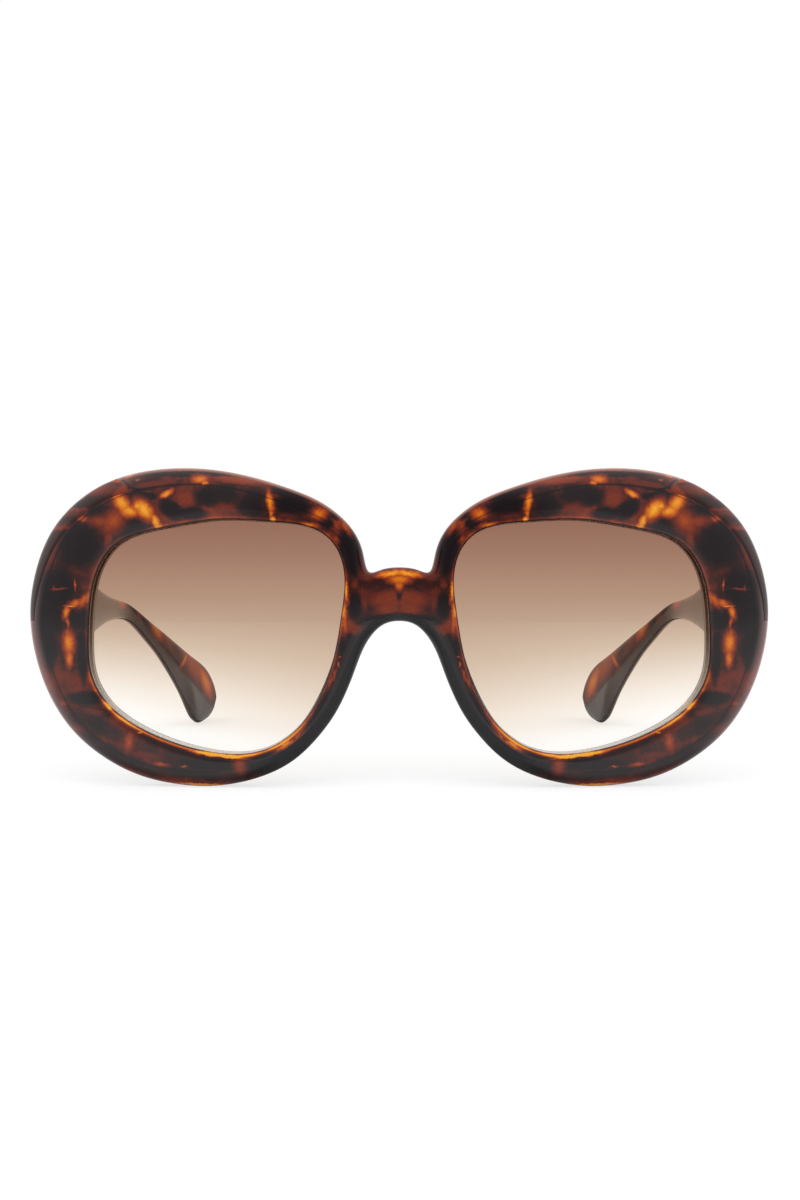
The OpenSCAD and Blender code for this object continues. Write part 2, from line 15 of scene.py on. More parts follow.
import bmesh
import bpy
import numpy as np
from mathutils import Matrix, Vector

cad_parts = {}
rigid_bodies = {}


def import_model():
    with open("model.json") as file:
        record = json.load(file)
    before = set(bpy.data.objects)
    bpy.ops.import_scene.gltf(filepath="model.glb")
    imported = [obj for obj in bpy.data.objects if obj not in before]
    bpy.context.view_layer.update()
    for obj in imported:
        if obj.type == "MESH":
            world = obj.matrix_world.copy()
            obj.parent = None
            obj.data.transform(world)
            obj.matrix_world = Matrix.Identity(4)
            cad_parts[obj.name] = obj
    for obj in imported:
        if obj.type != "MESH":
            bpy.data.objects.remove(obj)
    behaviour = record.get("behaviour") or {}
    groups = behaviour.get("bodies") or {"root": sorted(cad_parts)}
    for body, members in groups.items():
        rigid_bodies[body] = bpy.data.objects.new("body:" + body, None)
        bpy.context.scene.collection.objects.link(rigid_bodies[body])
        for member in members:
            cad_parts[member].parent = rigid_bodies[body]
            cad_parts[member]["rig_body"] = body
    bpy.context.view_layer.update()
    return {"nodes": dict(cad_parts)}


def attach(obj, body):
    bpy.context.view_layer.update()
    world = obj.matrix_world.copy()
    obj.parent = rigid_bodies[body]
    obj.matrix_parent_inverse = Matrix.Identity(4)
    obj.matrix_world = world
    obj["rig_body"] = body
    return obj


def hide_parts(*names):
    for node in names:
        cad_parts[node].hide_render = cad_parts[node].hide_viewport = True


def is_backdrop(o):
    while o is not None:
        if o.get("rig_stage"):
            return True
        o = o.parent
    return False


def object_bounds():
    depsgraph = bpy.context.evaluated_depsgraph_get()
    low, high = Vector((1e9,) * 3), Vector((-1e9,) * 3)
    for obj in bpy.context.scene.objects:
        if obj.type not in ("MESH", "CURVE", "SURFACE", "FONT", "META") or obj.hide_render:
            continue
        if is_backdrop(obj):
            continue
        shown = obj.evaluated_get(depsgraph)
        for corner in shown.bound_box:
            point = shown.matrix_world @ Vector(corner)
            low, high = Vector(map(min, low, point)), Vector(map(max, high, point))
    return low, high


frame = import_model()

LOG = logging.getLogger("sunglasses")
MM = 0.001
DEPTH = 150.0
FRONT_Y = -DEPTH / 2
CREASE_ANGLE = 35.0
MERGE = 1e-7
TINY = 1e-6
NOISE_MIDDLE = 0.5
WHITE = (1, 1, 1, 1)

# Each point of the front and the temples carries a mark that tells its finish where it lies. On a
# rim it is -2 at the lens, -1 past the lip, 0 at the crease and 1 at the outline. The other places
# have marks of their own: surfaces with nothing to show, the middle of the bridge, the inner face
# of a temple and its lower edge, the wall of the lens groove and the lip behind it.
PROFILE = "profile"
PLAIN = 0.3
BRIDGE = PLAIN - 1
INNER = -0.5
LOW_EDGE = 2 * INNER
WALL = -3.0
REAR_LIP = -2.1


class Side(Enum):
    """A side of the wearer, with the sign of its X."""

    LEFT = 1
    RIGHT = -1

    @property
    def label(self) -> str:
        """The side's name in lower case."""
        return self.name.lower()


class SmoothLoop:
    """A closed cubic curve through rows of values, counted in rows."""

    def __init__(self, rows: list[list[float]]) -> None:
        """Solves for the control values that make the curve pass through the rows.

        Args:
            rows: Rows of values, at 0, 1, 2 and so on along the curve.
        """
        values = np.array(rows, float)
        one = np.eye(len(values))
        system = (4 * one + np.roll(one, 1, axis=0) + np.roll(one, -1, axis=0)) / 6
        self.controls = np.linalg.solve(system, values)

    @classmethod
    def there_and_back(cls, rows: list[list[float]], flip: bool) -> "SmoothLoop":
        """Closes a half curve by its way back.

        Args:
            rows: The rows of the half curve.
            flip: Whether the first value changes its sign on the way back.

        Returns:
            The closed curve.
        """
        sign = -1 if flip else 1
        return cls(rows + [[sign * row[0], *row[1:]] for row in rows[-2:0:-1]])

    def _near(self, place: np.ndarray) -> tuple[np.ndarray, np.ndarray]:
        """The four control rows round each place, and the share of the way past the second.

        Args:
            place: Places along the curve.

        Returns:
            The control rows and the shares.
        """
        place = np.asarray(place, float)
        base = np.floor(place).astype(int)
        index = (base[..., None] + np.arange(-1, 3)) % len(self.controls)
        return self.controls[index], (place - base)[..., None]

    def at(self, place: np.ndarray) -> np.ndarray:
        """The values of the curve at places along it.

        Args:
            place: Places along the curve.

        Returns:
            A row of values for each place.
        """
        near, f = self._near(place)
        weights = np.concatenate(
            [(1 - f) ** 3, 3 * f**3 - 6 * f**2 + 4, 3 * f**2 + 3 * f - 3 * f**3 + 1, f**3], -1
        )
        return (weights[..., None] * near).sum(-2) / 6

    def slope(self, place: np.ndarray) -> np.ndarray:
        """The change of the values per row at places along the curve.

        Args:
            place: Places along the curve.

        Returns:
            A row of changes for each place.
        """
        near, f = self._near(place)
        weights = np.concatenate(
            [-((1 - f) ** 2), 3 * f**2 - 4 * f, 1 + 2 * f - 3 * f**2, f**2], -1
        )
        return (weights[..., None] * near).sum(-2) / 2


def lerp(first: np.ndarray, last: np.ndarray, share: np.ndarray) -> np.ndarray:
    """A value at a share of the way between two others."""
    return first + (last - first) * share


def smooth(share: np.ndarray) -> np.ndarray:
    """A soft step from 0 to 1."""
    share = np.clip(share, 0, 1)
    return share * share * (3 - 2 * share)


def column(values: np.ndarray) -> np.ndarray:
    """Values as a column, to multiply points with."""
    return np.asarray(values, float)[..., None]


def unit(vectors: np.ndarray) -> np.ndarray:
    """Vectors at length 1."""
    return vectors / np.linalg.norm(vectors, axis=-1, keepdims=True)


@dataclass
class RimShape:
    """The outline of the front, its lens openings and the curved sheet that carries them.

    An outline row holds shares of half the width, of the height and of the bevel, from the top of
    the bridge round the rim to the nose arch. The opening shares are of its radius, at even
    angles.
    """

    lens_gap: float = 22.2
    lens_w: float = 52.2
    lens_h: float = 47.4
    rim_side_w: float = 12.7
    rim_top_w: float = 10.6
    rim_low_w: float = 7.0
    rim_t: float = 5.6
    front_sag: float = 4.5
    rim_sag: float = 1.6
    bevel_w: float = 3.4
    bevel_d: float = 2.6
    bevel_start: float = 18.0
    bridge_dip: float = 1.4
    dip_flat: float = 0.034
    dip_flank: float = 0.03
    lens_low: float = 0.481
    opening_height: float = 1.816
    outline_shares: tuple = (
        (0, 0.689, 0.5), (0.047, 0.682, 0.5), (0.083, 0.677, 0.45), (0.099, 0.743, 0.5),
        (0.134, 0.82, 0.7), (0.204, 0.889, 0.9), (0.296, 0.937, 1), (0.408, 0.977, 1),
        (0.526, 1, 1.05), (0.645, 1, 1.15), (0.758, 0.974, 1.2), (0.853, 0.9175, 1.2),
        (0.929, 0.83, 1.15), (0.976, 0.721, 1.1), (0.999, 0.6, 1.05), (0.999, 0.492, 1),
        (0.982, 0.389, 1), (0.946, 0.279, 0.95), (0.885, 0.173, 0.9), (0.8, 0.089, 0.9),
        (0.698, 0.03, 0.95), (0.587, 0.003, 1), (0.48, 0.002, 1), (0.375, 0.029, 0.95),
        (0.28, 0.086, 0.85), (0.205, 0.174, 0.7), (0.157, 0.26, 0.6), (0.121, 0.358, 0.55),
        (0.092, 0.442, 0.5), (0.05, 0.503, 0.5), (0, 0.52, 0.5),
    )
    opening_shares: tuple = (
        1, 1.023, 1.077, 1.082, 0.996, 0.941, 0.941, 0.972, 1.06, 1.178, 1.146, 1.022,
        0.946, 0.919, 0.917, 0.928, 0.93, 0.905, 0.868, 0.852, 0.868, 0.916, 0.98, 1.01,
    )

    def __post_init__(self) -> None:
        """Derives the whole size, the middle of the lens and the two curves."""
        self.front_w = self.lens_gap + 2 * (self.lens_w + self.rim_side_w)
        self.front_h = self.rim_low_w + self.lens_h + self.rim_top_w
        self.middle = np.array(
            [(self.lens_gap + self.lens_w) / 2, self.rim_low_w + self.lens_low * self.lens_h]
        )
        self.end = len(self.outline_shares) - 1
        self.outline = SmoothLoop.there_and_back(
            [
                [x * self.front_w / 2, z * self.front_h, bevel * self.bevel_w]
                for x, z, bevel in self.outline_shares
            ],
            flip=True,
        )
        self.opening = SmoothLoop([[share] for share in self.opening_shares])

    def sheet(self, points: np.ndarray) -> np.ndarray:
        """How far back the curved sheet lies at points of the front.

        Args:
            points: Points across and up the front.

        Returns:
            Their depths.
        """
        across = 2 * points[..., 0] / self.front_w
        up = points[..., 1] / (self.front_h / 2) - 1
        return self.front_sag * across**2 + self.rim_sag * up**2

    def face(self, points: np.ndarray) -> np.ndarray:
        """How far back the face lies, with the recess of the bridge."""
        flank = (points[..., 0] / self.front_w - self.dip_flat) / self.dip_flank
        return self.sheet(points) + self.bridge_dip * (1 - smooth(flank))

    def on_sheet(self, points: np.ndarray, back: np.ndarray) -> np.ndarray:
        """Points in space at a depth behind the sheet."""
        return np.stack([points[..., 0], self.sheet(points) + back, points[..., 1]], -1)

    def on_face(self, points: np.ndarray, back: np.ndarray) -> np.ndarray:
        """Points in space at a depth behind the face."""
        return np.stack([points[..., 0], self.face(points) + back, points[..., 1]], -1)

    def edge(self, place: np.ndarray) -> np.ndarray:
        """Points of the outer outline."""
        return self.outline.at(place)[..., :2]

    def bevel(self, place: np.ndarray) -> np.ndarray:
        """Width of the rounded bevel at places of the outline."""
        return self.outline.at(place)[..., 2]

    def inward(self, place: np.ndarray) -> np.ndarray:
        """Unit vectors from the outline into the rim."""
        slope = self.outline.slope(place)
        return unit(np.stack([slope[..., 1], -slope[..., 0]], -1))

    def bevel_back(self, share: np.ndarray) -> np.ndarray:
        """Depth of the rounded bevel at shares of the way from its crease to the outline.

        Args:
            share: Shares of the way.

        Returns:
            Depths behind the face.
        """
        start = math.radians(self.bevel_start)
        sine = math.sin(start) + np.clip(share, 0, 1) * (1 - math.sin(start))
        return self.bevel_d * (1 - np.sqrt(np.maximum(0, 1 - sine**2)) / math.cos(start))

    def opening_offset(self, angle: np.ndarray) -> np.ndarray:
        """Offsets of the lens opening from its middle at angles in radians.

        Args:
            angle: Angles in radians.

        Returns:
            Offsets across and up.
        """
        turn = (angle / (2 * math.pi) + 1) * len(self.opening_shares)
        size = np.array([self.lens_w / 2, self.lens_h / self.opening_height])
        return self.opening.at(turn) * ray(angle) * size

    def angle_at(self, place: np.ndarray) -> np.ndarray:
        """Angles of places of the outline, seen from the middle of the lens."""
        offset = self.edge(place) - self.middle
        return np.arctan2(offset[..., 1], offset[..., 0])


def ray(angle: np.ndarray) -> np.ndarray:
    """Unit vectors at angles in radians."""
    return np.stack([np.cos(angle), np.sin(angle)], -1)


@dataclass
class Seam:
    """The slanted seam along which a temple root wraps the outer corner of the front."""

    rim: RimShape
    top: float = 10.07
    crease: float = 9.75
    low: float = 14.75
    step: float = 0.12
    play_top: float = 0.003
    play_low: float = 0.003
    gap: float = 0.08
    wrap_w: float = 3.7
    end_w: float = 1.3
    taper: float = 1.7

    def width(self, share: np.ndarray) -> np.ndarray:
        """Width of the wrap at shares of the seam."""
        return lerp(self.wrap_w, self.end_w, share**self.taper)

    def outer(self, share: np.ndarray) -> np.ndarray:
        """Outer points of the wrap."""
        return self.rim.edge(self.place(share))

    def place(self, share: np.ndarray) -> np.ndarray:
        """Places of the outline at shares of the wrap, clear of its two ends."""
        return lerp(self.top + self.play_top, self.low - self.play_low, share)

    def inner(self, share: np.ndarray, square: float) -> np.ndarray:
        """Inner points of the wrap, slanted on the face or square to the outline at the back.

        Args:
            share: Shares of the seam.
            square: 0 for the slanted line and 1 for the square one.

        Returns:
            The points across and up.
        """
        place = lerp(self.crease + self.play_top, self.low - self.play_low, share)
        place = np.maximum(place, square * (self.top + self.play_top))
        return self.rim.edge(place) + column(self.width(share) - self.gap) * self.rim.inward(place)

    def back(self, share: np.ndarray, reach: float) -> np.ndarray:
        """Depth of the bevel of the wrap at a reach from its inner to its outer points."""
        bevel = self.rim.bevel(self.place(share))
        return self.rim.bevel_back(1 - (self.width(share) - self.gap) * (1 - reach) / bevel)


def make_mesh(
    name: str,
    points: np.ndarray,
    faces: list[list[int]],
    crease_angle: float = CREASE_ANGLE,
    profile: np.ndarray | None = None,
) -> bpy.types.Object:
    """Makes a smooth-shaded object from points in millimetres behind the front plane.

    Args:
        name: Name of the object.
        points: Points, one row each.
        faces: Lists of point numbers.
        crease_angle: Angle in degrees past which an edge is shaded sharp.
        profile: Place of each point across the rim, for the finish.

    Returns:
        The object, linked to the scene.
    """
    placed = (np.asarray(points, float).reshape(-1, 3) + [0, FRONT_Y, 0]) * MM
    mesh = bpy.data.meshes.new(name)
    mesh.from_pydata(placed.tolist(), [], faces)
    if profile is not None:
        layer = mesh.attributes.new(PROFILE, "FLOAT", "POINT")
        layer.data.foreach_set("value", np.ascontiguousarray(profile, np.float32).ravel())
    mesh.validate()
    mesh.shade_smooth()
    mesh.set_sharp_from_angle(angle=math.radians(crease_angle))
    made = bpy.data.objects.new(name, mesh)
    bpy.context.scene.collection.objects.link(made)
    return made


def paint(made: bpy.types.Object, material: bpy.types.Material) -> None:
    """Gives all of an object one material."""
    made.data.materials.clear()
    made.data.materials.append(material)


def stand_for(
    made: bpy.types.Object, material: bpy.types.Material, node: str
) -> None:
    """Paints a piece that stands for a CAD node and lets it ride on that node's body.

    Args:
        made: The piece.
        material: Its finish.
        node: The CAD node that it stands for.
    """
    paint(made, material)
    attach(made, frame["nodes"][node]["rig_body"])
    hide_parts(node)
    LOG.info("%s stands for %s, %d faces", made.name, node, len(made.data.polygons))


def box_points(low: list[float], high: list[float]) -> tuple[np.ndarray, list[list[int]]]:
    """Points and faces of a box between two corners.

    Args:
        low: Its lower corner.
        high: Its upper corner.

    Returns:
        Its points and its faces.
    """
    corners = [[(low, high)[k][0], (low, high)[j][1], (low, high)[i][2]]
               for i in (0, 1) for j in (0, 1) for k in (0, 1)]
    faces = [[0, 2, 3, 1], [4, 5, 7, 6], [0, 1, 5, 4], [2, 6, 7, 3], [0, 4, 6, 2], [1, 3, 7, 5]]
    return np.array(corners, float), faces


def bar_points(
    centre: list[float], axis: int, low: float, high: float, radius: float, sides: int = 32
) -> tuple[np.ndarray, list[list[int]]]:
    """Points and faces of a round bar along one axis through a centre.

    Args:
        centre: A point on its axis.
        axis: Number of the axis that it lies along.
        low: Where it starts on that axis.
        high: Where it ends on that axis.
        radius: Its radius.
        sides: Number of its sides.

    Returns:
        Its points and its faces.
    """
    around = [k for k in (0, 1, 2) if k != axis]
    points = []
    for end in (low, high):
        for k in range(sides):
            turn = 2 * math.pi * k / sides
            point = list(centre)
            point[axis] = end
            point[around[0]] += radius * math.cos(turn)
            point[around[1]] += radius * math.sin(turn)
            points.append(point)
    walls = [[k, (k + 1) % sides, sides + (k + 1) % sides, sides + k] for k in range(sides)]
    ends = [list(range(sides))[::-1], list(range(sides, 2 * sides))]
    return np.array(points), walls + ends


def cut_out(body: bpy.types.Object, cutters: list[tuple[np.ndarray, list[list[int]]]]) -> None:
    """Cuts closed bodies out of an object and applies the cut.

    Args:
        body: The object to cut.
        cutters: Points in millimetres and faces of each cutting body.
    """
    for points, faces in cutters:
        tool = make_mesh("cutter", points, faces)
        turn_outside(tool.data)
        cut = body.modifiers.new("cut", "BOOLEAN")
        cut.operation = "DIFFERENCE"
        cut.solver = "EXACT"
        cut.object = tool
        graph = bpy.context.evaluated_depsgraph_get()
        done = bpy.data.meshes.new_from_object(body.evaluated_get(graph))
        body.modifiers.clear()
        old = body.data
        body.data = done
        bpy.data.meshes.remove(old)
        bpy.data.objects.remove(tool)
    body.data.shade_smooth()
    body.data.set_sharp_from_angle(angle=math.radians(CREASE_ANGLE))


def turn_outside(mesh: bpy.types.Mesh) -> None:
    """Turns the faces of a closed mesh to the outside.

    Args:
        mesh: The mesh.
    """
    work = bmesh.new()
    work.from_mesh(mesh)
    bmesh.ops.recalc_face_normals(work, faces=work.faces)
    work.to_mesh(mesh)
    work.free()


@dataclass
class HingeShape:
    """Places and sizes of a hinge that its pockets need."""

    rim: RimShape
    inset: float = 5.4
    lift: float = 9.5
    height: float = 6.4
    knuckle_r: float = 1.6
    rise: float = 1.3
    sink: float = 0.5
    leaf_t: float = 1.0
    front_leaf: float = 6.2
    temple_leaf: float = 9.6
    temple_leaf_h: float = 5.2
    face_gap: float = 0.4
    play: float = 0.25
    screw_d: float = 1.2
    screw_l: float = 2.4
    screw_fit: float = 0.02
    screw_head_d: float = 2.0
    pitch: float = 3.2

    def __post_init__(self) -> None:
        """Derives the hinge axis, the leaves and the screw places."""
        self.x = self.rim.front_w / 2 - self.inset
        self.z = self.rim.middle[1] + self.lift
        back = float(self.rim.sheet(np.array([self.x, self.z]))) + self.rim.rim_t
        self.leaf_y = back - self.sink
        self.y = self.leaf_y + self.rise
        self.face_x = self.x + self.face_gap
        self.screw_x = self.x - self.front_leaf + self.screw_head_d
        self.screw_y = self.y + self.temple_leaf - self.screw_head_d - self.pitch / 2

    def room(self, inboard: float, outboard: float, near: float, far: float) -> tuple:
        """The space round the knuckles, as a cutting body.

        Args:
            inboard: Reach from the hinge axis towards the middle.
            outboard: Reach from the hinge axis outwards.
            near: Depth at which it starts.
            far: Depth at which it ends.

        Returns:
            Its points and its faces.
        """
        return box_points(
            [self.x - inboard, near, self.z - self.height / 2 - self.play],
            [self.x + outboard, far, self.z + self.height / 2 + self.play],
        )

    def front_cutters(self) -> list[tuple]:
        """The pocket and the screw holes in the back of the front.

        Returns:
            Points and faces of each cutting body.
        """
        deep = self.leaf_y - self.leaf_t
        holes = [
            bar_points(
                [self.screw_x, 0, self.z + k * self.pitch / 2], 1,
                deep - self.screw_l - self.play, deep + self.leaf_t,
                self.screw_d / 2 + self.screw_fit,
            )
            for k in (-1, 1)
        ]
        return [self.room(self.front_leaf + self.play, self.front_leaf, deep, DEPTH), *holes]

    def temple_cutters(self) -> list[tuple]:
        """The pocket, the leaf recess and the screw holes in a temple.

        Returns:
            Points and faces of each cutting body.
        """
        knuckles = self.room(
            self.front_leaf, self.knuckle_r + self.play, 0, self.y + self.knuckle_r + self.play
        )
        recess = box_points(
            [self.face_x - self.temple_leaf, self.y, self.z - self.temple_leaf_h / 2 - self.play],
            [self.face_x + self.leaf_t, self.y + self.temple_leaf + self.play,
             self.z + self.temple_leaf_h / 2 + self.play],
        )
        deep = self.face_x + self.leaf_t
        holes = [
            bar_points(
                [0, self.screw_y + k * self.pitch / 2, self.z], 0,
                deep - self.leaf_t, deep + self.screw_l + self.play,
                self.screw_d / 2 + self.screw_fit,
            )
            for k in (-1, 1)
        ]
        return [knuckles, recess, *holes]


def mirrored(cutter: tuple) -> tuple:
    """A cutting body mirrored to -X."""
    points, faces = cutter
    return points * [-1, 1, 1], [face[::-1] for face in faces]


@dataclass
class Front:
    """The moulded front with both rims, the bridge and the nose pads."""

    rim: RimShape
    seam: Seam
    hinge: HingeShape
    lip_w: float = 0.8
    lip_d: float = 0.7
    pillow: float = 0.3
    back_round: float = 0.8
    pad_d: float = 4.5
    pad_middle: float = 26.2
    pad_reach: float = 3.4
    pad_lean: float = 0.5
    pad_lens: float = 0.2
    lens_inset: float = 2.6
    groove_d: float = 0.9
    groove_w: float = 2.4
    top_steps: int = 120
    wrap_steps: int = 64
    low_steps: int = 160
    seam_steps: int = 10
    lip_steps: int = 4
    face_steps: int = 7
    bevel_steps: int = 9
    bevel_ease: float = 1.6
    round_steps: int = 6
    back_steps: int = 4

    def stations(self) -> tuple[np.ndarray, ...]:
        """Places round one rim.

        Returns:
            Places of the opening, of the crease and of the edge, and the width of the wrap.
        """
        seam, end = self.seam, self.rim.end
        top = np.linspace(0, seam.top, self.top_steps + 1)
        low = np.linspace(seam.low, end, self.low_steps + 1)
        share = np.linspace(0, 1, self.wrap_steps + 1)
        wrap = lerp(seam.crease, seam.low, share)
        opening = lerp(seam.top + seam.step, seam.low - seam.step, share)
        return (
            np.concatenate([top, opening, low]),
            np.concatenate([np.minimum(top, seam.crease), wrap, low]),
            np.concatenate([top, wrap, low]),
            np.concatenate([0 * top, seam.width(share), 0 * low]),
        )

    def swell(self, share: float) -> float:
        """How far the face swells forward at a share of the way from its lip to its crease."""
        return -self.pillow * 4 * share * (1 - share)

    def bevel_shares(self) -> np.ndarray:
        """Shares of the way across the bevel at which its rows lie, closer at the outline."""
        return 1 - np.linspace(1, 0, self.bevel_steps + 1) ** self.bevel_ease

    def rings(self) -> tuple[np.ndarray, int, int]:
        """The sections round one rim and over the bridge.

        Returns:
            Points by station and row, the row of the crease and the row of the back edge.
        """
        rim, seam = self.rim, self.seam
        opening_place, crease_place, edge_place, wrap = self.stations()
        angle = rim.angle_at(opening_place)
        out = ray(angle)
        edge = rim.edge(edge_place) + column(wrap) * rim.inward(edge_place)
        back_place = np.where(wrap > 0, np.maximum(edge_place, seam.top), edge_place)
        back_edge = rim.edge(back_place) + column(wrap) * rim.inward(back_place)
        bevel = column(rim.bevel(crease_place))
        crease = rim.edge(crease_place) + bevel * rim.inward(crease_place)
        cut = 1 - wrap / rim.bevel(edge_place)
        reach = np.abs(opening_place - self.pad_middle) / self.pad_reach
        pad = np.where(reach < 1, np.cos(math.pi / 2 * np.minimum(reach, 1)) ** 2, 0)
        inner = rim.middle + rim.opening_offset(angle)
        lip = inner + self.lip_w * out
        rounding = column(self.back_round * smooth(np.abs(edge_place - seam.top)))
        round_in = unit(crease - edge) * rounding
        width = np.linalg.norm(edge - inner, axis=-1)
        deep = rim.rim_t + self.pad_d * pad
        corner = back_edge + round_in + (inner - edge) * column(self.pad_lean * pad)
        lip_back = self.lip_w / 2
        rear = inner + column(lip_back - self.pad_lens * width * pad) * out

        rows = self.lip_rows(inner, out)
        for share in np.linspace(0, 1, self.face_steps + 1)[1:-1]:
            rows.append(rim.on_face(lerp(lip, crease, share), self.swell(share)))
        face_row = len(rows)
        for share in self.bevel_shares():
            rows.append(rim.on_face(lerp(crease, edge, share), rim.bevel_back(share * cut)))
        start = rim.on_sheet(edge, rim.rim_t - self.back_round)
        rows.append((rows[-1] + start) / 2)
        end = rim.on_sheet(corner, deep)
        for turn in np.linspace(0, math.pi / 2, self.round_steps + 1):
            share = np.array([1 - math.cos(turn), math.sin(turn), 1 - math.cos(turn)])
            rows.append(start + (end - start) * share)
        back_row = len(rows) - 1
        inner_back = rim.on_sheet(rear, deep)
        for share in np.linspace(0, 1, self.back_steps + 1)[1:]:
            rows.append(lerp(end, inner_back, share))
        rows += self.groove_rows(rows[-1], inner, out)
        rings = np.stack(rows, 1)

        middle = self.bridge_rings(rings[0], rings[-1], face_row, back_row)
        rings[[0, -1], face_row : back_row + 1, 0] = 0
        return np.concatenate([rings, middle]), face_row, back_row

    def lip_rows(self, inner: np.ndarray, out: np.ndarray) -> list[np.ndarray]:
        """Rows of the fine bevel round the lens, from the opening to the face.

        Args:
            inner: Points of the opening.
            out: Unit vectors from the middle of the lens.

        Returns:
            Points of each row.
        """
        rows = []
        for turn in np.linspace(0, math.pi / 2, self.lip_steps + 1):
            place = inner + self.lip_w * (1 - math.cos(turn)) * out
            rows.append(self.rim.on_face(place, self.lip_d * (1 - math.sin(turn))))
        return rows

    def groove_rows(
        self, rear: np.ndarray, inner: np.ndarray, out: np.ndarray
    ) -> list[np.ndarray]:
        """Rows of the rear lip and the lens groove, behind the rear edge of the rim.

        Args:
            rear: Points of the rear edge.
            inner: Points of the opening.
            out: Unit vectors from the middle of the lens.

        Returns:
            Points of each row.
        """
        rim = self.rim
        wall = rim.on_sheet(inner, rim.rim_t - self.lip_w / 2)
        rows = []
        for turn in np.linspace(0, math.pi / 2, self.lip_steps + 1)[1:]:
            share = np.array([math.sin(turn), 1 - math.cos(turn), math.sin(turn)])
            rows.append(rear + (wall - rear) * share)
        rows.append(rim.on_sheet(inner, self.lens_inset + self.groove_w / 2))
        rows.append(rim.on_sheet(inner + self.groove_d * out, self.lens_inset))
        rows.append(rim.on_sheet(inner, self.lens_inset - self.groove_w / 2))
        return rows

    def bridge_rings(
        self, first: np.ndarray, last: np.ndarray, face_row: int, back_row: int
    ) -> np.ndarray:
        """Sections on the way from the nose arch back to the top of the bridge.

        Args:
            first: The section at the top of the bridge.
            last: The section at the top of the nose arch.
            face_row: Row of the crease.
            back_row: Row of the back edge.

        Returns:
            The sections between them.
        """
        rim = self.rim
        share = np.linspace(0, 1, self.seam_steps + 1)[1:-1]
        start, stop = rim.angle_at(np.array([rim.end, 0.0]))
        angle = lerp(start, stop, share)
        out = ray(angle)
        inner = rim.middle + rim.opening_offset(angle)
        lip = inner + self.lip_w * out
        zero = 0 * share
        front = np.stack([zero, lerp(last[face_row, 2], first[face_row, 2], share)], -1)
        back = np.stack([zero, lerp(last[back_row, 2], first[back_row, 2], share)], -1)
        rows = self.lip_rows(inner, out)
        for place in np.linspace(0, 1, self.face_steps + 1)[1:-1]:
            rows.append(rim.on_face(lerp(lip, front, place), self.swell(place)))
        rows += [rim.on_face(front, 0)] * (back_row - face_row)
        end = rim.on_sheet(back, rim.rim_t)
        rows.append(end)
        rear = rim.on_sheet(inner + self.lip_w / 2 * out, rim.rim_t)
        for place in np.linspace(0, 1, self.back_steps + 1)[1:]:
            rows.append(lerp(end, rear, place))
        rows += self.groove_rows(rows[-1], inner, out)
        return np.stack(rows, 1)

    def profile(self, count: int, rows: int, face_row: int, back_row: int) -> np.ndarray:
        """The marks of the points of the front.

        Args:
            count: Number of sections.
            rows: Number of rows of a section.
            face_row: Row of the crease.
            back_row: Row of the back edge.

        Returns:
            One mark for each point of the sections.
        """
        values = np.full((count, rows), PLAIN)
        lip, edge = self.lip_steps, face_row + self.bevel_steps
        _, _, edge_place, wrap = self.stations()
        kept = np.ones(count)
        kept[: len(wrap)] = np.maximum(PLAIN, 1 - wrap / self.rim.bevel(edge_place))
        values[:, : lip + 1] = np.linspace(-2, -1, lip + 1)
        values[:, lip : face_row + 1] = np.linspace(-1, 0, face_row + 1 - lip)
        values[:, face_row : edge + 1] = column(kept) * self.bevel_shares()
        values[-self.seam_steps + 1 :, face_row:back_row] = BRIDGE
        rear = back_row + self.back_steps
        values[:, rear : rear + self.lip_steps + 1] = REAR_LIP
        values[:, rear + self.lip_steps + 1 :] = WALL
        return values

    def build(self) -> bpy.types.Object:
        """Builds the front as one closed skin with its hinge pockets.

        Returns:
            The front.
        """
        rings, face_row, back_row = self.rings()
        count, rows = rings.shape[:2]
        last_rim = count - self.seam_steps
        half = rings.reshape(-1, 3)
        points = np.concatenate([half, half * [-1, 1, 1]])
        faces = []
        for k in range(count):
            for j in range(rows):
                if k >= last_rim and face_row <= j < back_row:
                    continue
                a, b = k * rows, (k + 1) % count * rows
                n = (j + 1) % rows
                quad = [a + j, a + n, b + n, b + j]
                faces.append(quad)
                faces.append([i if half[i][0] == 0 else i + len(half) for i in quad[::-1]])
        profile = np.tile(self.profile(count, rows, face_row, back_row), (2, 1))
        made = make_mesh("front_shell", points, faces, profile=profile)
        weld(made.data)
        cutters = self.hinge.front_cutters()
        cut_out(made, cutters + [mirrored(cutter) for cutter in cutters])
        return made

    def dress(self, material: bpy.types.Material) -> None:
        """Builds the front and gives it its finish."""
        stand_for(self.build(), material, "front_frame")


def weld(mesh: bpy.types.Mesh) -> None:
    """Joins points that lie on each other and drops faces without area.

    Args:
        mesh: The mesh.
    """
    work = bmesh.new()
    work.from_mesh(mesh)
    bmesh.ops.remove_doubles(work, verts=work.verts, dist=MERGE)
    bmesh.ops.dissolve_degenerate(work, edges=work.edges, dist=MERGE)
    loose = [vertex for vertex in work.verts if not vertex.link_faces]
    bmesh.ops.delete(work, geom=loose, context="VERTS")
    bmesh.ops.recalc_face_normals(work, faces=work.faces)
    work.to_mesh(mesh)
    work.free()


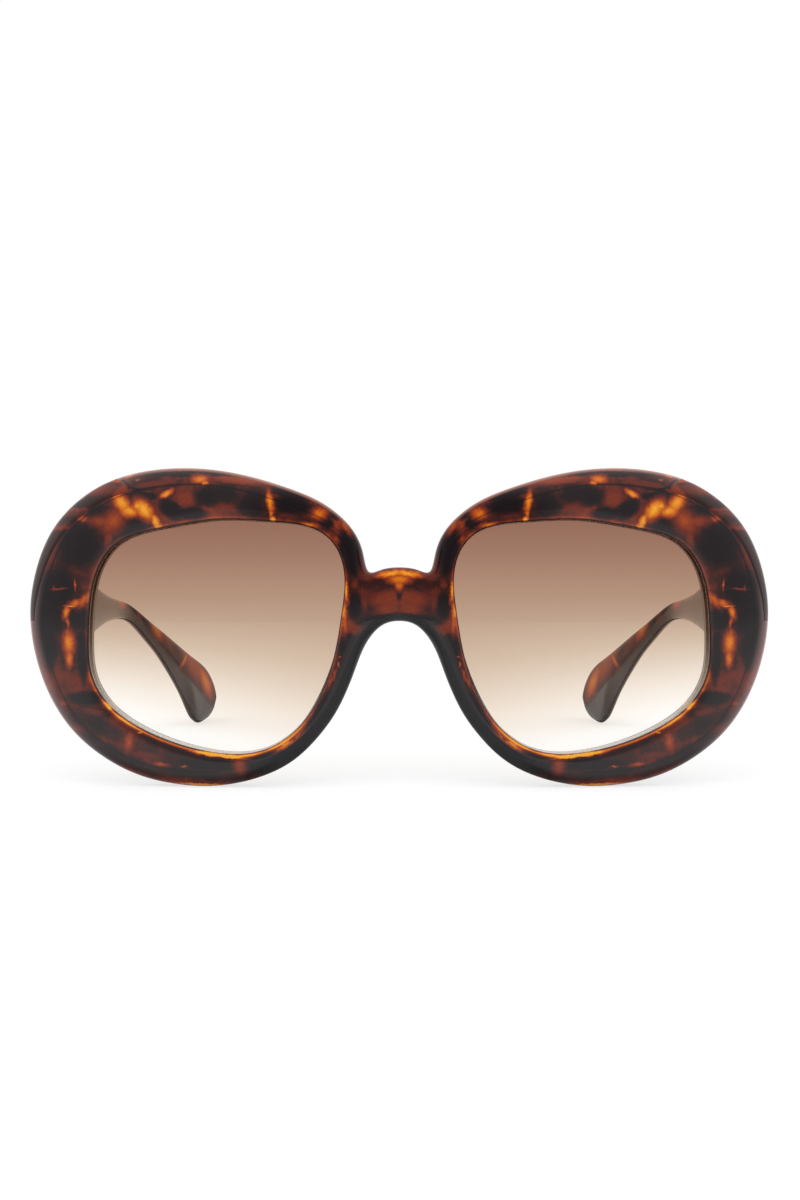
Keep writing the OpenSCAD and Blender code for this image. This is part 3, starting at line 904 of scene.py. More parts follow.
@dataclass
class Lens:
    """A bent lens with a ridge round its edge."""

    rim: RimShape
    thickness: float = 2.0
    inset: float = 2.6
    groove_d: float = 0.9
    fit: float = 0.12
    steps: int = 144
    rings: int = 12
    crease_angle: float = 30.0

    def ring(self, share: float, out: float, back: float) -> np.ndarray:
        """Points round the lens at a share of its radius and a depth.

        Args:
            share: Share of the radius.
            out: Reach past the opening.
            back: Depth behind the sheet.

        Returns:
            The points of the ring.
        """
        angle = -2 * math.pi * np.arange(self.steps) / self.steps
        offset = self.rim.opening_offset(angle) + out * ray(angle)
        return self.rim.on_sheet(self.rim.middle + share * offset, back)

    def build(self, side: Side) -> bpy.types.Object:
        """Builds the lens of one side.

        Args:
            side: Its side.

        Returns:
            The lens.
        """
        near, far = self.inset - self.thickness / 2, self.inset + self.thickness / 2
        shares = np.linspace(0, 1, self.rings + 1)[1:]
        rows = [self.ring(share, -self.fit, near) for share in shares]
        rows += [self.ring(1, self.groove_d - self.fit, self.inset)]
        rows += [self.ring(share, -self.fit, far) for share in shares[::-1]]
        middle = self.rim.middle
        points = np.concatenate(
            rows + [self.rim.on_sheet(middle, near)[None], self.rim.on_sheet(middle, far)[None]]
        )
        n, last = self.steps, len(rows) - 1
        faces = []
        for k in range(last):
            for j in range(n):
                a, b = k * n, (j + 1) % n
                faces.append([a + j, a + n + j, a + n + b, a + b])
        top = len(points) - 2
        faces += [[top, j, (j + 1) % n] for j in range(n)]
        faces += [[top + 1, last * n + (j + 1) % n, last * n + j] for j in range(n)]
        points = points * [side.value, 1, 1]
        made = make_mesh(f"lens_shell_{side.label}", points, faces, self.crease_angle)
        weld(made.data)
        return made

    def dress(self, side: Side, material: bpy.types.Material) -> None:
        """Builds the lens of one side and gives it its finish."""
        stand_for(self.build(side), material, f"lens_{side.label}")


@dataclass
class Temple:
    """A temple whose tall root wraps the front and whose arm ends in a wide tip.

    A root row holds a depth behind the hinge axis in knuckle radii, the place of its top on the
    outline and how much of its inner side keeps outboard of the axis. An arm row holds shares of
    the depth, of the height of the front for its upper and its lower edge and of the thickness,
    and its slant. The slant is the share of its height over which its inner side leans outwards
    at the bottom, or its outer side inwards if it is below 0.
    """

    rim: RimShape
    seam: Seam
    hinge: HingeShape
    arm_t: float = 4.2
    tip_inset: float = 12.0
    straight_d: float = 22.0
    back_round: float = 0.8
    wall: float = 0.55
    blend_start: float = 0.083
    blend_end: float = 0.143
    square: float = 2.6
    root_steps: int = 36
    arm_steps: int = 110
    bevel_steps: int = 10
    bevel_ease: float = 1.5
    wall_start: float = 0.12
    inner_rows: int = 3
    low_rows: int = 5
    root_rows: tuple = (
        (-0.06, 10.07, 0), (0.06, 10.7, 0), (0.25, 11.3, 0), (0.5, 11.8, 0.7), (0.8, 12.3, 1),
    )
    arm_shares: tuple = (
        (0.08, 0.831, 0.498, 1.05, 0), (0.107, 0.76, 0.482, 1, 0), (0.133, 0.717, 0.473, 1, 0),
        (0.173, 0.685, 0.462, 0.98, 0), (0.22, 0.664, 0.462, 0.95, 0),
        (0.253, 0.646, 0.47, 0.92, 0), (0.293, 0.616, 0.494, 0.88, 0.05),
        (0.347, 0.592, 0.512, 0.82, 0.1), (0.407, 0.575, 0.511, 0.78, 0.15),
        (0.467, 0.543, 0.482, 0.76, 0.2), (0.533, 0.502, 0.424, 0.76, 0.25),
        (0.6, 0.463, 0.362, 0.78, 0.3), (0.673, 0.42, 0.281, 0.82, 0.35),
        (0.773, 0.36, 0.152, 0.88, 0.4), (0.84, 0.321, 0.043, 0.9, 0.05),
        (0.887, 0.294, 0.004, 0.88, -0.45), (0.927, 0.266, 0.006, 0.84, -0.5),
        (0.96, 0.231, 0.015, 0.74, -0.45), (0.983, 0.192, 0.034, 0.62, -0.3),
        (0.9924, 0.1666, 0.0543, 0.52, -0.15), (0.9981, 0.1373, 0.0791, 0.4, 0),
        (1, 0.112, 0.101, 0.25, 0),
    )

    def __post_init__(self) -> None:
        """Prepares the shares along the root and the curve of the arm."""
        self.shares = np.linspace(0, 1, self.root_steps + 1)
        self.arm = SmoothLoop.there_and_back(
            [
                [y * DEPTH, top * self.rim.front_h, low * self.rim.front_h, t * self.arm_t, slant]
                for y, top, low, t, slant in self.arm_shares
            ],
            flip=False,
        )

    def around(self, outer: np.ndarray, inner: np.ndarray) -> np.ndarray:
        """A ring from outer points, top down, and inner points, turned to run bottom up."""
        return np.concatenate([outer, inner[::-1]])

    def bevel_ring(self, reach: float, down: float) -> np.ndarray:
        """A ring of the wrap at a reach across its bevel and a share down its inner wall.

        Args:
            reach: Share of the way from its inner to its outer points.
            down: Share of the way down its inner wall.

        Returns:
            The points of the ring.
        """
        rim, seam, s = self.rim, self.seam, self.shares
        inner = seam.inner(s, 0)
        place = lerp(inner, seam.outer(s), reach)
        wall = lerp(seam.back(s, 0) + seam.gap, self.wall * rim.rim_t, down)
        return self.around(rim.on_face(place, seam.back(s, reach)), rim.on_face(inner, wall))

    def wall_ring(self, outer_back: float, inner_back: float) -> np.ndarray:
        """A ring of the wrap beside the wall of the rim.

        Args:
            outer_back: Depth of its outer points behind the sheet.
            inner_back: Depth of its inner points behind the sheet.

        Returns:
            The points of the ring.
        """
        rim, seam, s = self.rim, self.seam, self.shares
        return self.around(
            rim.on_sheet(seam.outer(s), outer_back), rim.on_sheet(seam.inner(s, 1), inner_back)
        )

    def butt_ring(self) -> np.ndarray:
        """The ring where the root butts against the back of the front.

        Returns:
            The points of the ring.
        """
        rim, seam, s = self.rim, self.seam, self.shares
        outer, inner = seam.outer(s), seam.inner(s, 1)
        start = self.hinge.y + self.root_rows[0][0] * self.hinge.knuckle_r
        back = (rim.sheet(outer) + rim.rim_t - seam.gap + start) / 2
        outer_points = np.stack([outer[:, 0], back, outer[:, 1]], -1)
        held = np.stack([np.minimum(inner[:, 0], self.hinge.face_x), inner[:, 1]], -1)
        return self.around(outer_points, rim.on_sheet(held, rim.rim_t + 3 * seam.gap / 2))

    def root_ring(self, y: float, top: float, outboard: float) -> np.ndarray:
        """A ring of the root behind the front.

        Args:
            y: Depth of the ring.
            top: Place of its top along the outline.
            outboard: How much of its inner side keeps outboard of the hinge axis.

        Returns:
            The points of the ring.
        """
        rim, seam = self.rim, self.seam
        place = lerp(top, seam.low, self.shares)
        outer = rim.edge(place)
        inner = outer + (seam.wrap_w - 3 * seam.gap) * rim.inward(place)
        inner_x = np.minimum(
            np.maximum(inner[:, 0], outboard * (self.hinge.x - seam.gap)), self.hinge.face_x
        )
        level = np.full(len(place), y)
        return self.around(
            np.stack([outer[:, 0], level, outer[:, 1]], -1),
            np.stack([inner_x, level, inner[:, 1]], -1),
        )

    def arm_ring(self, row: np.ndarray) -> np.ndarray:
        """A rounded section of the arm from its depth, edges, thickness and slant.

        Args:
            row: Its depth, upper edge, lower edge, thickness and slant.

        Returns:
            The points of the ring.
        """
        y, top, low, thickness, slant = row
        count = 2 * (self.root_steps + 1)
        turn = math.pi / 2 - 2 * math.pi * (np.arange(count) + 0.5) / count
        power = 2 / self.square
        across = np.sign(np.cos(turn)) * np.abs(np.cos(turn)) ** power
        up = np.sign(np.sin(turn)) * np.abs(np.sin(turn)) ** power
        inset = self.tip_inset * max(0, y - self.straight_d) / (DEPTH - self.straight_d)
        inner_x = self.hinge.face_x - inset
        height = (up + 1) / 2
        lean = np.maximum(0, 1 - height / max(abs(slant), TINY)) * thickness * slant
        x = inner_x + thickness / 2 * (1 + across) + lean * np.maximum(0, -across * np.sign(slant))
        return np.stack([x, np.full(count, y), low + (top - low) * height], -1)

    def blended_ring(self, row: np.ndarray) -> np.ndarray:
        """A ring on the way from the root to the arm.

        Args:
            row: The row of the arm at its depth.

        Returns:
            The points of the ring.
        """
        root = self.root_ring(row[0], self.root_rows[-1][1], 1)
        share = smooth((row[0] / DEPTH - self.blend_start) / (self.blend_end - self.blend_start))
        return lerp(root, self.arm_ring(row), share)

    def reaches(self) -> np.ndarray:
        """Shares of the way across the bevel at which the rings of the wrap lie."""
        return 1 - np.linspace(1, 0, self.bevel_steps + 1)[1:] ** self.bevel_ease

    def rings(self) -> list[np.ndarray]:
        """All rings from the wrap to the tip.

        Returns:
            The points of each ring.
        """
        rim, gap = self.rim, self.seam.gap
        rings = []
        for reach in self.reaches():
            down = max(0, (reach - self.wall_start) / (1 - self.wall_start))
            rings.append(self.bevel_ring(reach, down))
        start = rim.rim_t - self.back_round
        rings.append(self.wall_ring(start - gap, start))
        rings.append(self.wall_ring(rim.rim_t - gap, rim.rim_t + gap))
        rings.append(self.butt_ring())
        for back, top, outboard in self.root_rows:
            y = self.hinge.y + back * self.hinge.knuckle_r
            rings.append(self.root_ring(y, top, outboard))
        end = len(self.arm_shares) - 1
        for place in np.linspace(0, end, self.arm_steps + 1)[1:]:
            rings.append(self.blended_ring(self.arm.at(place)))
        return rings

    def profile(self, count: int) -> np.ndarray:
        """The marks of the points of the temple.

        Args:
            count: Number of rings.

        Returns:
            One mark for each point of the rings.
        """
        seam, s = self.seam, self.shares
        bevel = self.rim.bevel(seam.place(s))
        values = np.full((count, 2 * len(s)), PLAIN)
        width = seam.width(s) - seam.gap
        for ring, reach in zip(values, self.reaches()):
            ring[: len(s)] = np.maximum(PLAIN, 1 - width * (1 - reach) / bevel)
        arm = values[-self.arm_steps :]
        arm[:, len(s) - self.inner_rows :] = INNER
        arm[:, : self.inner_rows] = INNER
        arm[:, len(s) : len(s) + self.low_rows] = LOW_EDGE
        return values

    def build(self, side: Side) -> bpy.types.Object:
        """Builds the temple of one side with its hinge pocket.

        Args:
            side: Its side.

        Returns:
            The temple.
        """
        rings = self.rings()
        rows = len(rings[0])
        faces = []
        for k in range(len(rings) - 1):
            for j in range(rows):
                a, n = k * rows, (j + 1) % rows
                faces.append([a + j, a + rows + j, a + rows + n, a + n])
        end = (len(rings) - 1) * rows
        for j in range(rows // 2 - 1):
            strip = [j, j + 1, rows - 2 - j, rows - 1 - j]
            faces.append(strip)
            faces.append([end + i for i in strip[::-1]])
        points = np.concatenate(rings) * [side.value, 1, 1]
        made = make_mesh(
            f"temple_shell_{side.label}", points, faces, profile=self.profile(len(rings))
        )
        weld(made.data)
        cutters = self.hinge.temple_cutters()
        if side is Side.RIGHT:
            cutters = [mirrored(cutter) for cutter in cutters]
        cut_out(made, cutters)
        return made

    def dress(self, side: Side, material: bpy.types.Material) -> None:
        """Builds the temple of one side and gives it its finish."""
        stand_for(self.build(side), material, f"temple_{side.label}")


@dataclass(frozen=True)
class Fade:
    """A level that runs from its first to its last value between two places."""

    start: float = 0.0
    stop: float = 1.0
    first: float = 0.0
    last: float = 1.0
    smooth: bool = False


def screen(red: float, green: float, blue: float) -> tuple[float, ...]:
    """An opaque screen colour in linear light, by the sRGB curve.

    Args:
        red: Red from 0 to 255.
        green: Green from 0 to 255.
        blue: Blue from 0 to 255.

    Returns:
        Red, green, blue and alpha from 0 to 1.
    """
    light = [
        value / 12.92 if value <= 0.04045 else ((value + 0.055) / 1.055) ** 2.4
        for value in (red / 255, green / 255, blue / 255)
    ]
    return (*light, 1.0)


def screen_stops(rows: tuple) -> list[tuple[float, tuple]]:
    """Stops of a colour ramp from rows of a place and a screen colour."""
    return [(place, screen(*colour)) for place, *colour in rows]


class Nodes:
    """The nodes of a material or of the world, with short calls for the ones it needs."""

    def __init__(self, owner: bpy.types.ID, output: str) -> None:
        """Starts an empty node tree with its output.

        Args:
            owner: The material or the world.
            output: Type of the output node without its ShaderNode prefix.
        """
        self.owner = owner
        owner.use_nodes = True
        self.tree = owner.node_tree
        self.tree.nodes.clear()
        self.output = self.node(output)

    def node(self, kind: str, inputs: dict | None = None, **settings: object) -> bpy.types.Node:
        """Adds a node.

        Args:
            kind: Node type without its ShaderNode prefix.
            inputs: Values or sockets by input name or number.
            settings: Properties of the node.

        Returns:
            The node.
        """
        made = self.tree.nodes.new("ShaderNode" + kind)
        for key, value in settings.items():
            setattr(made, key, value)
        for key, value in (inputs or {}).items():
            if isinstance(value, bpy.types.NodeSocket):
                self.tree.links.new(value, made.inputs[key])
            else:
                made.inputs[key].default_value = value
        return made

    def math(self, operation: str, *values: object) -> bpy.types.NodeSocket:
        """The result of a Math node."""
        return self.node("Math", dict(enumerate(values)), operation=operation).outputs[0]

    def shift(self, operation: str, *values: object) -> bpy.types.NodeSocket:
        """The result of a Vector Math node."""
        return self.node("VectorMath", dict(enumerate(values)), operation=operation).outputs[0]

    def vector(self, *values: object) -> bpy.types.NodeSocket:
        """A vector from its coordinates."""
        return self.node("CombineXYZ", dict(enumerate(values))).outputs[0]

    def mix(self, share: object, under: object, over: object) -> bpy.types.NodeSocket:
        """A share of one colour laid over another."""
        return self.node("Mix", {0: share, 6: under, 7: over}, data_type="RGBA").outputs[2]

    def noise(self, place: object, scale: float, detail: float, **more: float) -> bpy.types.Node:
        """A Noise Texture node at a place."""
        return self.node("TexNoise", {"Vector": place, "Scale": scale, "Detail": detail, **more})

    def fade(self, value: object, fade: Fade, **ends: object) -> bpy.types.NodeSocket:
        """The level of a fade at a value.

        Args:
            value: Socket of the value that the level follows.
            fade: The places and the levels.
            ends: Sockets that stand in for numbers of the fade, by field name.

        Returns:
            Socket of the level.
        """
        inputs = {0: value}
        for k, key in enumerate(("start", "stop", "first", "last")):
            inputs[k + 1] = ends.get(key, getattr(fade, key))
        kind = "SMOOTHSTEP" if fade.smooth else "LINEAR"
        return self.node("MapRange", inputs, interpolation_type=kind).outputs[0]

    def ball(self, place: object, middle: tuple, size: tuple, turn: float = 0) -> object:
        """A soft ellipse, 1 in its middle and 0 from its edge outwards.

        Args:
            place: Socket of the place in the plane of the ellipse.
            middle: The two coordinates of its middle.
            size: Half its length and half its breadth.
            turn: Its turn in degrees.

        Returns:
            Socket of the strength.
        """
        made = self.node("TexGradient", {0: place}, gradient_type="SPHERICAL")
        made.texture_mapping.vector_type = "TEXTURE"
        made.texture_mapping.translation = (*middle, 0)
        made.texture_mapping.rotation = (0, 0, math.radians(turn))
        made.texture_mapping.scale = (*size, 1)
        return made.outputs[1]

    def ramp(self, value: object, stops: list[tuple[float, tuple]]) -> bpy.types.NodeSocket:
        """Colours over a value.

        Args:
            value: Socket of the value.
            stops: Rows of a place and a colour, at least two.

        Returns:
            Socket of the colour.
        """
        made = self.node("ValToRGB", {0: value})
        elements = made.color_ramp.elements
        elements[0].position, elements[0].color = stops[0]
        elements[1].position, elements[1].color = stops[-1]
        for place, colour in stops[1:-1]:
            elements.new(place).color = colour
        return made.outputs[0]

    def finish(self, shader: bpy.types.NodeSocket) -> bpy.types.ID:
        """Links the shader to the output and returns the material or the world."""
        self.tree.links.new(shader, self.output.inputs["Surface"])
        return self.owner


class Surface(Nodes):
    """A material that knows the place on the object in millimetres."""

    def __init__(self, name: str) -> None:
        """Starts the material and measures the place.

        Args:
            name: Name of the material.
        """
        super().__init__(bpy.data.materials.new(name), "OutputMaterial")
        scale = 1 / MM
        place = self.node("TexCoord").outputs["Object"]
        place = self.shift("MULTIPLY", place, (scale, scale, scale))
        self.x, self.y, self.z = self.node("SeparateXYZ", {0: place}).outputs
        self.across = self.math("ABSOLUTE", self.x)

    @cached_property
    def mark(self) -> bpy.types.NodeSocket:
        """The mark that tells where on its piece the surface lies."""
        return self.node("Attribute", attribute_name=PROFILE).outputs["Fac"]


@dataclass(frozen=True)
class Tortoise:
    """Glossy tortoise plastic: charcoal and red-brown clouds with amber blotches.

    A tone of 0 is charcoal and 1 is amber. Each blotch is an ellipse in millimetres: its two
    coordinates, half its length and breadth, its turn in degrees and, unless dark, its tone.
    The edge of a set of blotches is the size at which they have faded out, in their own size,
    and the share of it over which they fade. Fades run over millimetres of the object or over
    the marks across the rim.
    """

    name: str = "tortoise_plain"
    tones: tuple = (
        (0.0, 19, 16, 20), (0.18, 33, 20, 22), (0.32, 58, 27, 24), (0.46, 102, 38, 26),
        (0.58, 140, 54, 24), (0.70, 184, 80, 20), (0.84, 222, 122, 16), (1.0, 246, 172, 42),
    )
    amber: tuple = ()
    red: tuple = ()
    dark: tuple = ()
    amber_edge: tuple = (2.5, 1.0)
    red_edge: tuple = (2.0, 0.85)
    dark_edge: tuple = (1.75, 0.75)
    dark_depth: float = 0.9
    merge: float = 0.12
    ragged: tuple = ((0.28, 0.4), (1.1, 0.8))
    cloud_scale: float = 0.16
    cloud_rough: float = 0.55
    cloud_twist: float = 0.3
    cloud: Fade = Fade(0.38, 0.66, 0.3, 0.52, smooth=True)
    mottle_scale: float = 2.5
    mottle: float = 0.12
    grain_scale: float = 6.0
    grain: Fade = Fade(first=0.08, last=0.16)
    grain_depth: float = 0.0001
    grain_strength: float = 0.04
    ior: float = 1.49
    coat_ior: float = 1.5
    coat_rough: float = 0.1
    plain_gloss: float = 0.5
    # The next eight fields paint light into the tone: a glow in the lip, strongest at the bottom
    # and outwards, painted shade in a line at the lens edge, a painted highlight along the
    # outline, and painted shade along the crease, wider towards the bottom.
    lip: Fade = Fade(-1.35, -0.92, 1.0, 0.0)
    lip_across: Fade = Fade(16.0, 23.0, 0.2, 0.6)
    lip_height: Fade = Fade(14.0, 24.0, 0.6, 0.2)
    lip_line: Fade = Fade(-1.75, -1.4, -0.5, 0.0)
    rim_edge: Fade = Fade(0.45, 1.0, 0.0, 0.14)
    crease_start: Fade = Fade(-0.035, -0.005)
    crease_end: Fade = Fade(0.02, 0.1, -0.18, 0.0)
    crease_width: Fade = Fade(12.0, 20.0, 0.24, 0.1)
    nose_reach: Fade = Fade(28.0, 42.0, 36.0, 10.5)
    nose_step: Fade = Fade(-3.0, 3.0)

    def plane(self, n: Surface) -> tuple[object, object]:
        """The two coordinates that the blotches lie in."""
        return n.across, n.z

    def spots(self, n: Surface, plane: object, rows: tuple, edge: tuple) -> object:
        """The strongest of a set of blotches at the surface.

        Args:
            n: The material being built.
            plane: Socket of the place in the plane of the blotches.
            rows: The blotches.
            edge: Their edge.

        Returns:
            Socket of the tone.
        """
        spread, soft = edge
        total = 0.0
        for first, second, along, across, turn, *tone in rows:
            size = (spread * along, spread * across)
            ball = n.ball(plane, (first, second), size, turn)
            strength = tone[0] if tone else 1.0
            spot = n.fade(ball, Fade(stop=soft, last=strength, smooth=True))
            total = n.math("SMOOTH_MAX", total, spot, self.merge)
        return total

    def tone(self, n: Surface, place: object) -> object:
        """The tone of the plastic from its clouds and blotches.

        Args:
            n: The material being built.
            place: Socket of the place, the same on the left and the right.

        Returns:
            Socket of the tone.
        """
        flat = n.vector(*self.plane(n))
        for scale, reach in self.ragged:
            noise = n.noise(place, scale, detail=2).outputs[1]
            push = n.shift("SUBTRACT", noise, (NOISE_MIDDLE,) * 3)
            flat = n.shift("ADD", flat, n.shift("MULTIPLY", push, (reach, reach, 0)))
        cloud = n.noise(
            place, self.cloud_scale, detail=3, Roughness=self.cloud_rough,
            Distortion=self.cloud_twist,
        ).outputs[0]
        red = self.spots(n, flat, self.red, self.red_edge)
        tone = n.math("MAXIMUM", n.fade(cloud, self.cloud), red)
        dark = self.spots(n, flat, self.dark, self.dark_edge)
        keep = n.math("SUBTRACT", 1.0, n.math("MULTIPLY", dark, self.dark_depth))
        amber = self.spots(n, flat, self.amber, self.amber_edge)
        return n.math("MAXIMUM", n.math("MULTIPLY", tone, keep), amber)

    def build(self) -> bpy.types.Material:
        """Makes the material.

        Returns:
            The material.
        """
        n = Surface(self.name)
        place = n.vector(n.across, n.y, n.z)
        # The tone carries painted edge light: a glow in the lip, a highlight along the outline,
        # and painted shade at the lens edge and along the crease.
        tone = n.math("ADD", self.tone(n, place), self.edge_tone(n))
        mottle = n.noise(place, self.mottle_scale, detail=3).outputs[0]
        mottle = n.math("MULTIPLY", n.math("SUBTRACT", mottle, NOISE_MIDDLE), self.mottle)
        colour = n.ramp(n.math("ADD", tone, mottle), screen_stops(self.tones))
        grain = n.noise(place, self.grain_scale, detail=2).outputs[0]
        bump = n.node("Bump", {
            "Strength": self.grain_strength, "Distance": self.grain_depth, "Height": grain})
        shader = n.node("BsdfPrincipled", {
            "Base Color": self.cover(n, colour), "Roughness": n.fade(grain, self.grain),
            "IOR": self.ior, "Normal": bump.outputs[0], "Specular IOR Level": self.gloss(n),
            "Coat Weight": self.coat(n), "Coat IOR": self.coat_ior,
            "Coat Roughness": self.coat_rough})
        return n.finish(shader.outputs[0])

    def edge_tone(self, n: Surface) -> object:
        """Painted edge light: a glow painted into the lip, a painted highlight along the outline,
        and painted shade in a line at the lens edge and along the crease.

        Args:
            n: The material being built.

        Returns:
            Socket of the tone to add.
        """
        outer = n.fade(n.across, self.lip_across)
        lip_glow_strength = n.fade(n.z, self.lip_height, first=outer)
        line = n.fade(n.mark, self.lip_line)
        lip = n.math("MULTIPLY_ADD", n.fade(n.mark, self.lip), lip_glow_strength, line)
        wide = n.fade(n.z, self.crease_width)
        after = n.fade(n.mark, self.crease_end, stop=wide)
        rim = n.fade(n.mark, self.rim_edge)
        crease = n.math("MULTIPLY_ADD", n.fade(n.mark, self.crease_start), after, rim)
        return n.math("MULTIPLY_ADD", crease, self.away(n), lip)

    def away(self, n: Surface) -> object:
        """0 on the bridge and the nose side of the rims, which get no painted edge light, and 1
        elsewhere.
        """
        beyond = n.math("SUBTRACT", n.across, n.fade(n.z, self.nose_reach))
        return n.fade(beyond, self.nose_step)

    def cover(self, n: Surface, colour: object) -> object:
        """The colour with what lies over the blotches, nothing for plain plastic."""
        return colour

    def gloss(self, n: Surface) -> object:
        """How strongly the surface mirrors, the same all over plain plastic."""
        return self.plain_gloss

    def coat(self, n: Surface) -> object:
        """How much of a second gloss lies on the surface, none for plain plastic."""
        return 0.0


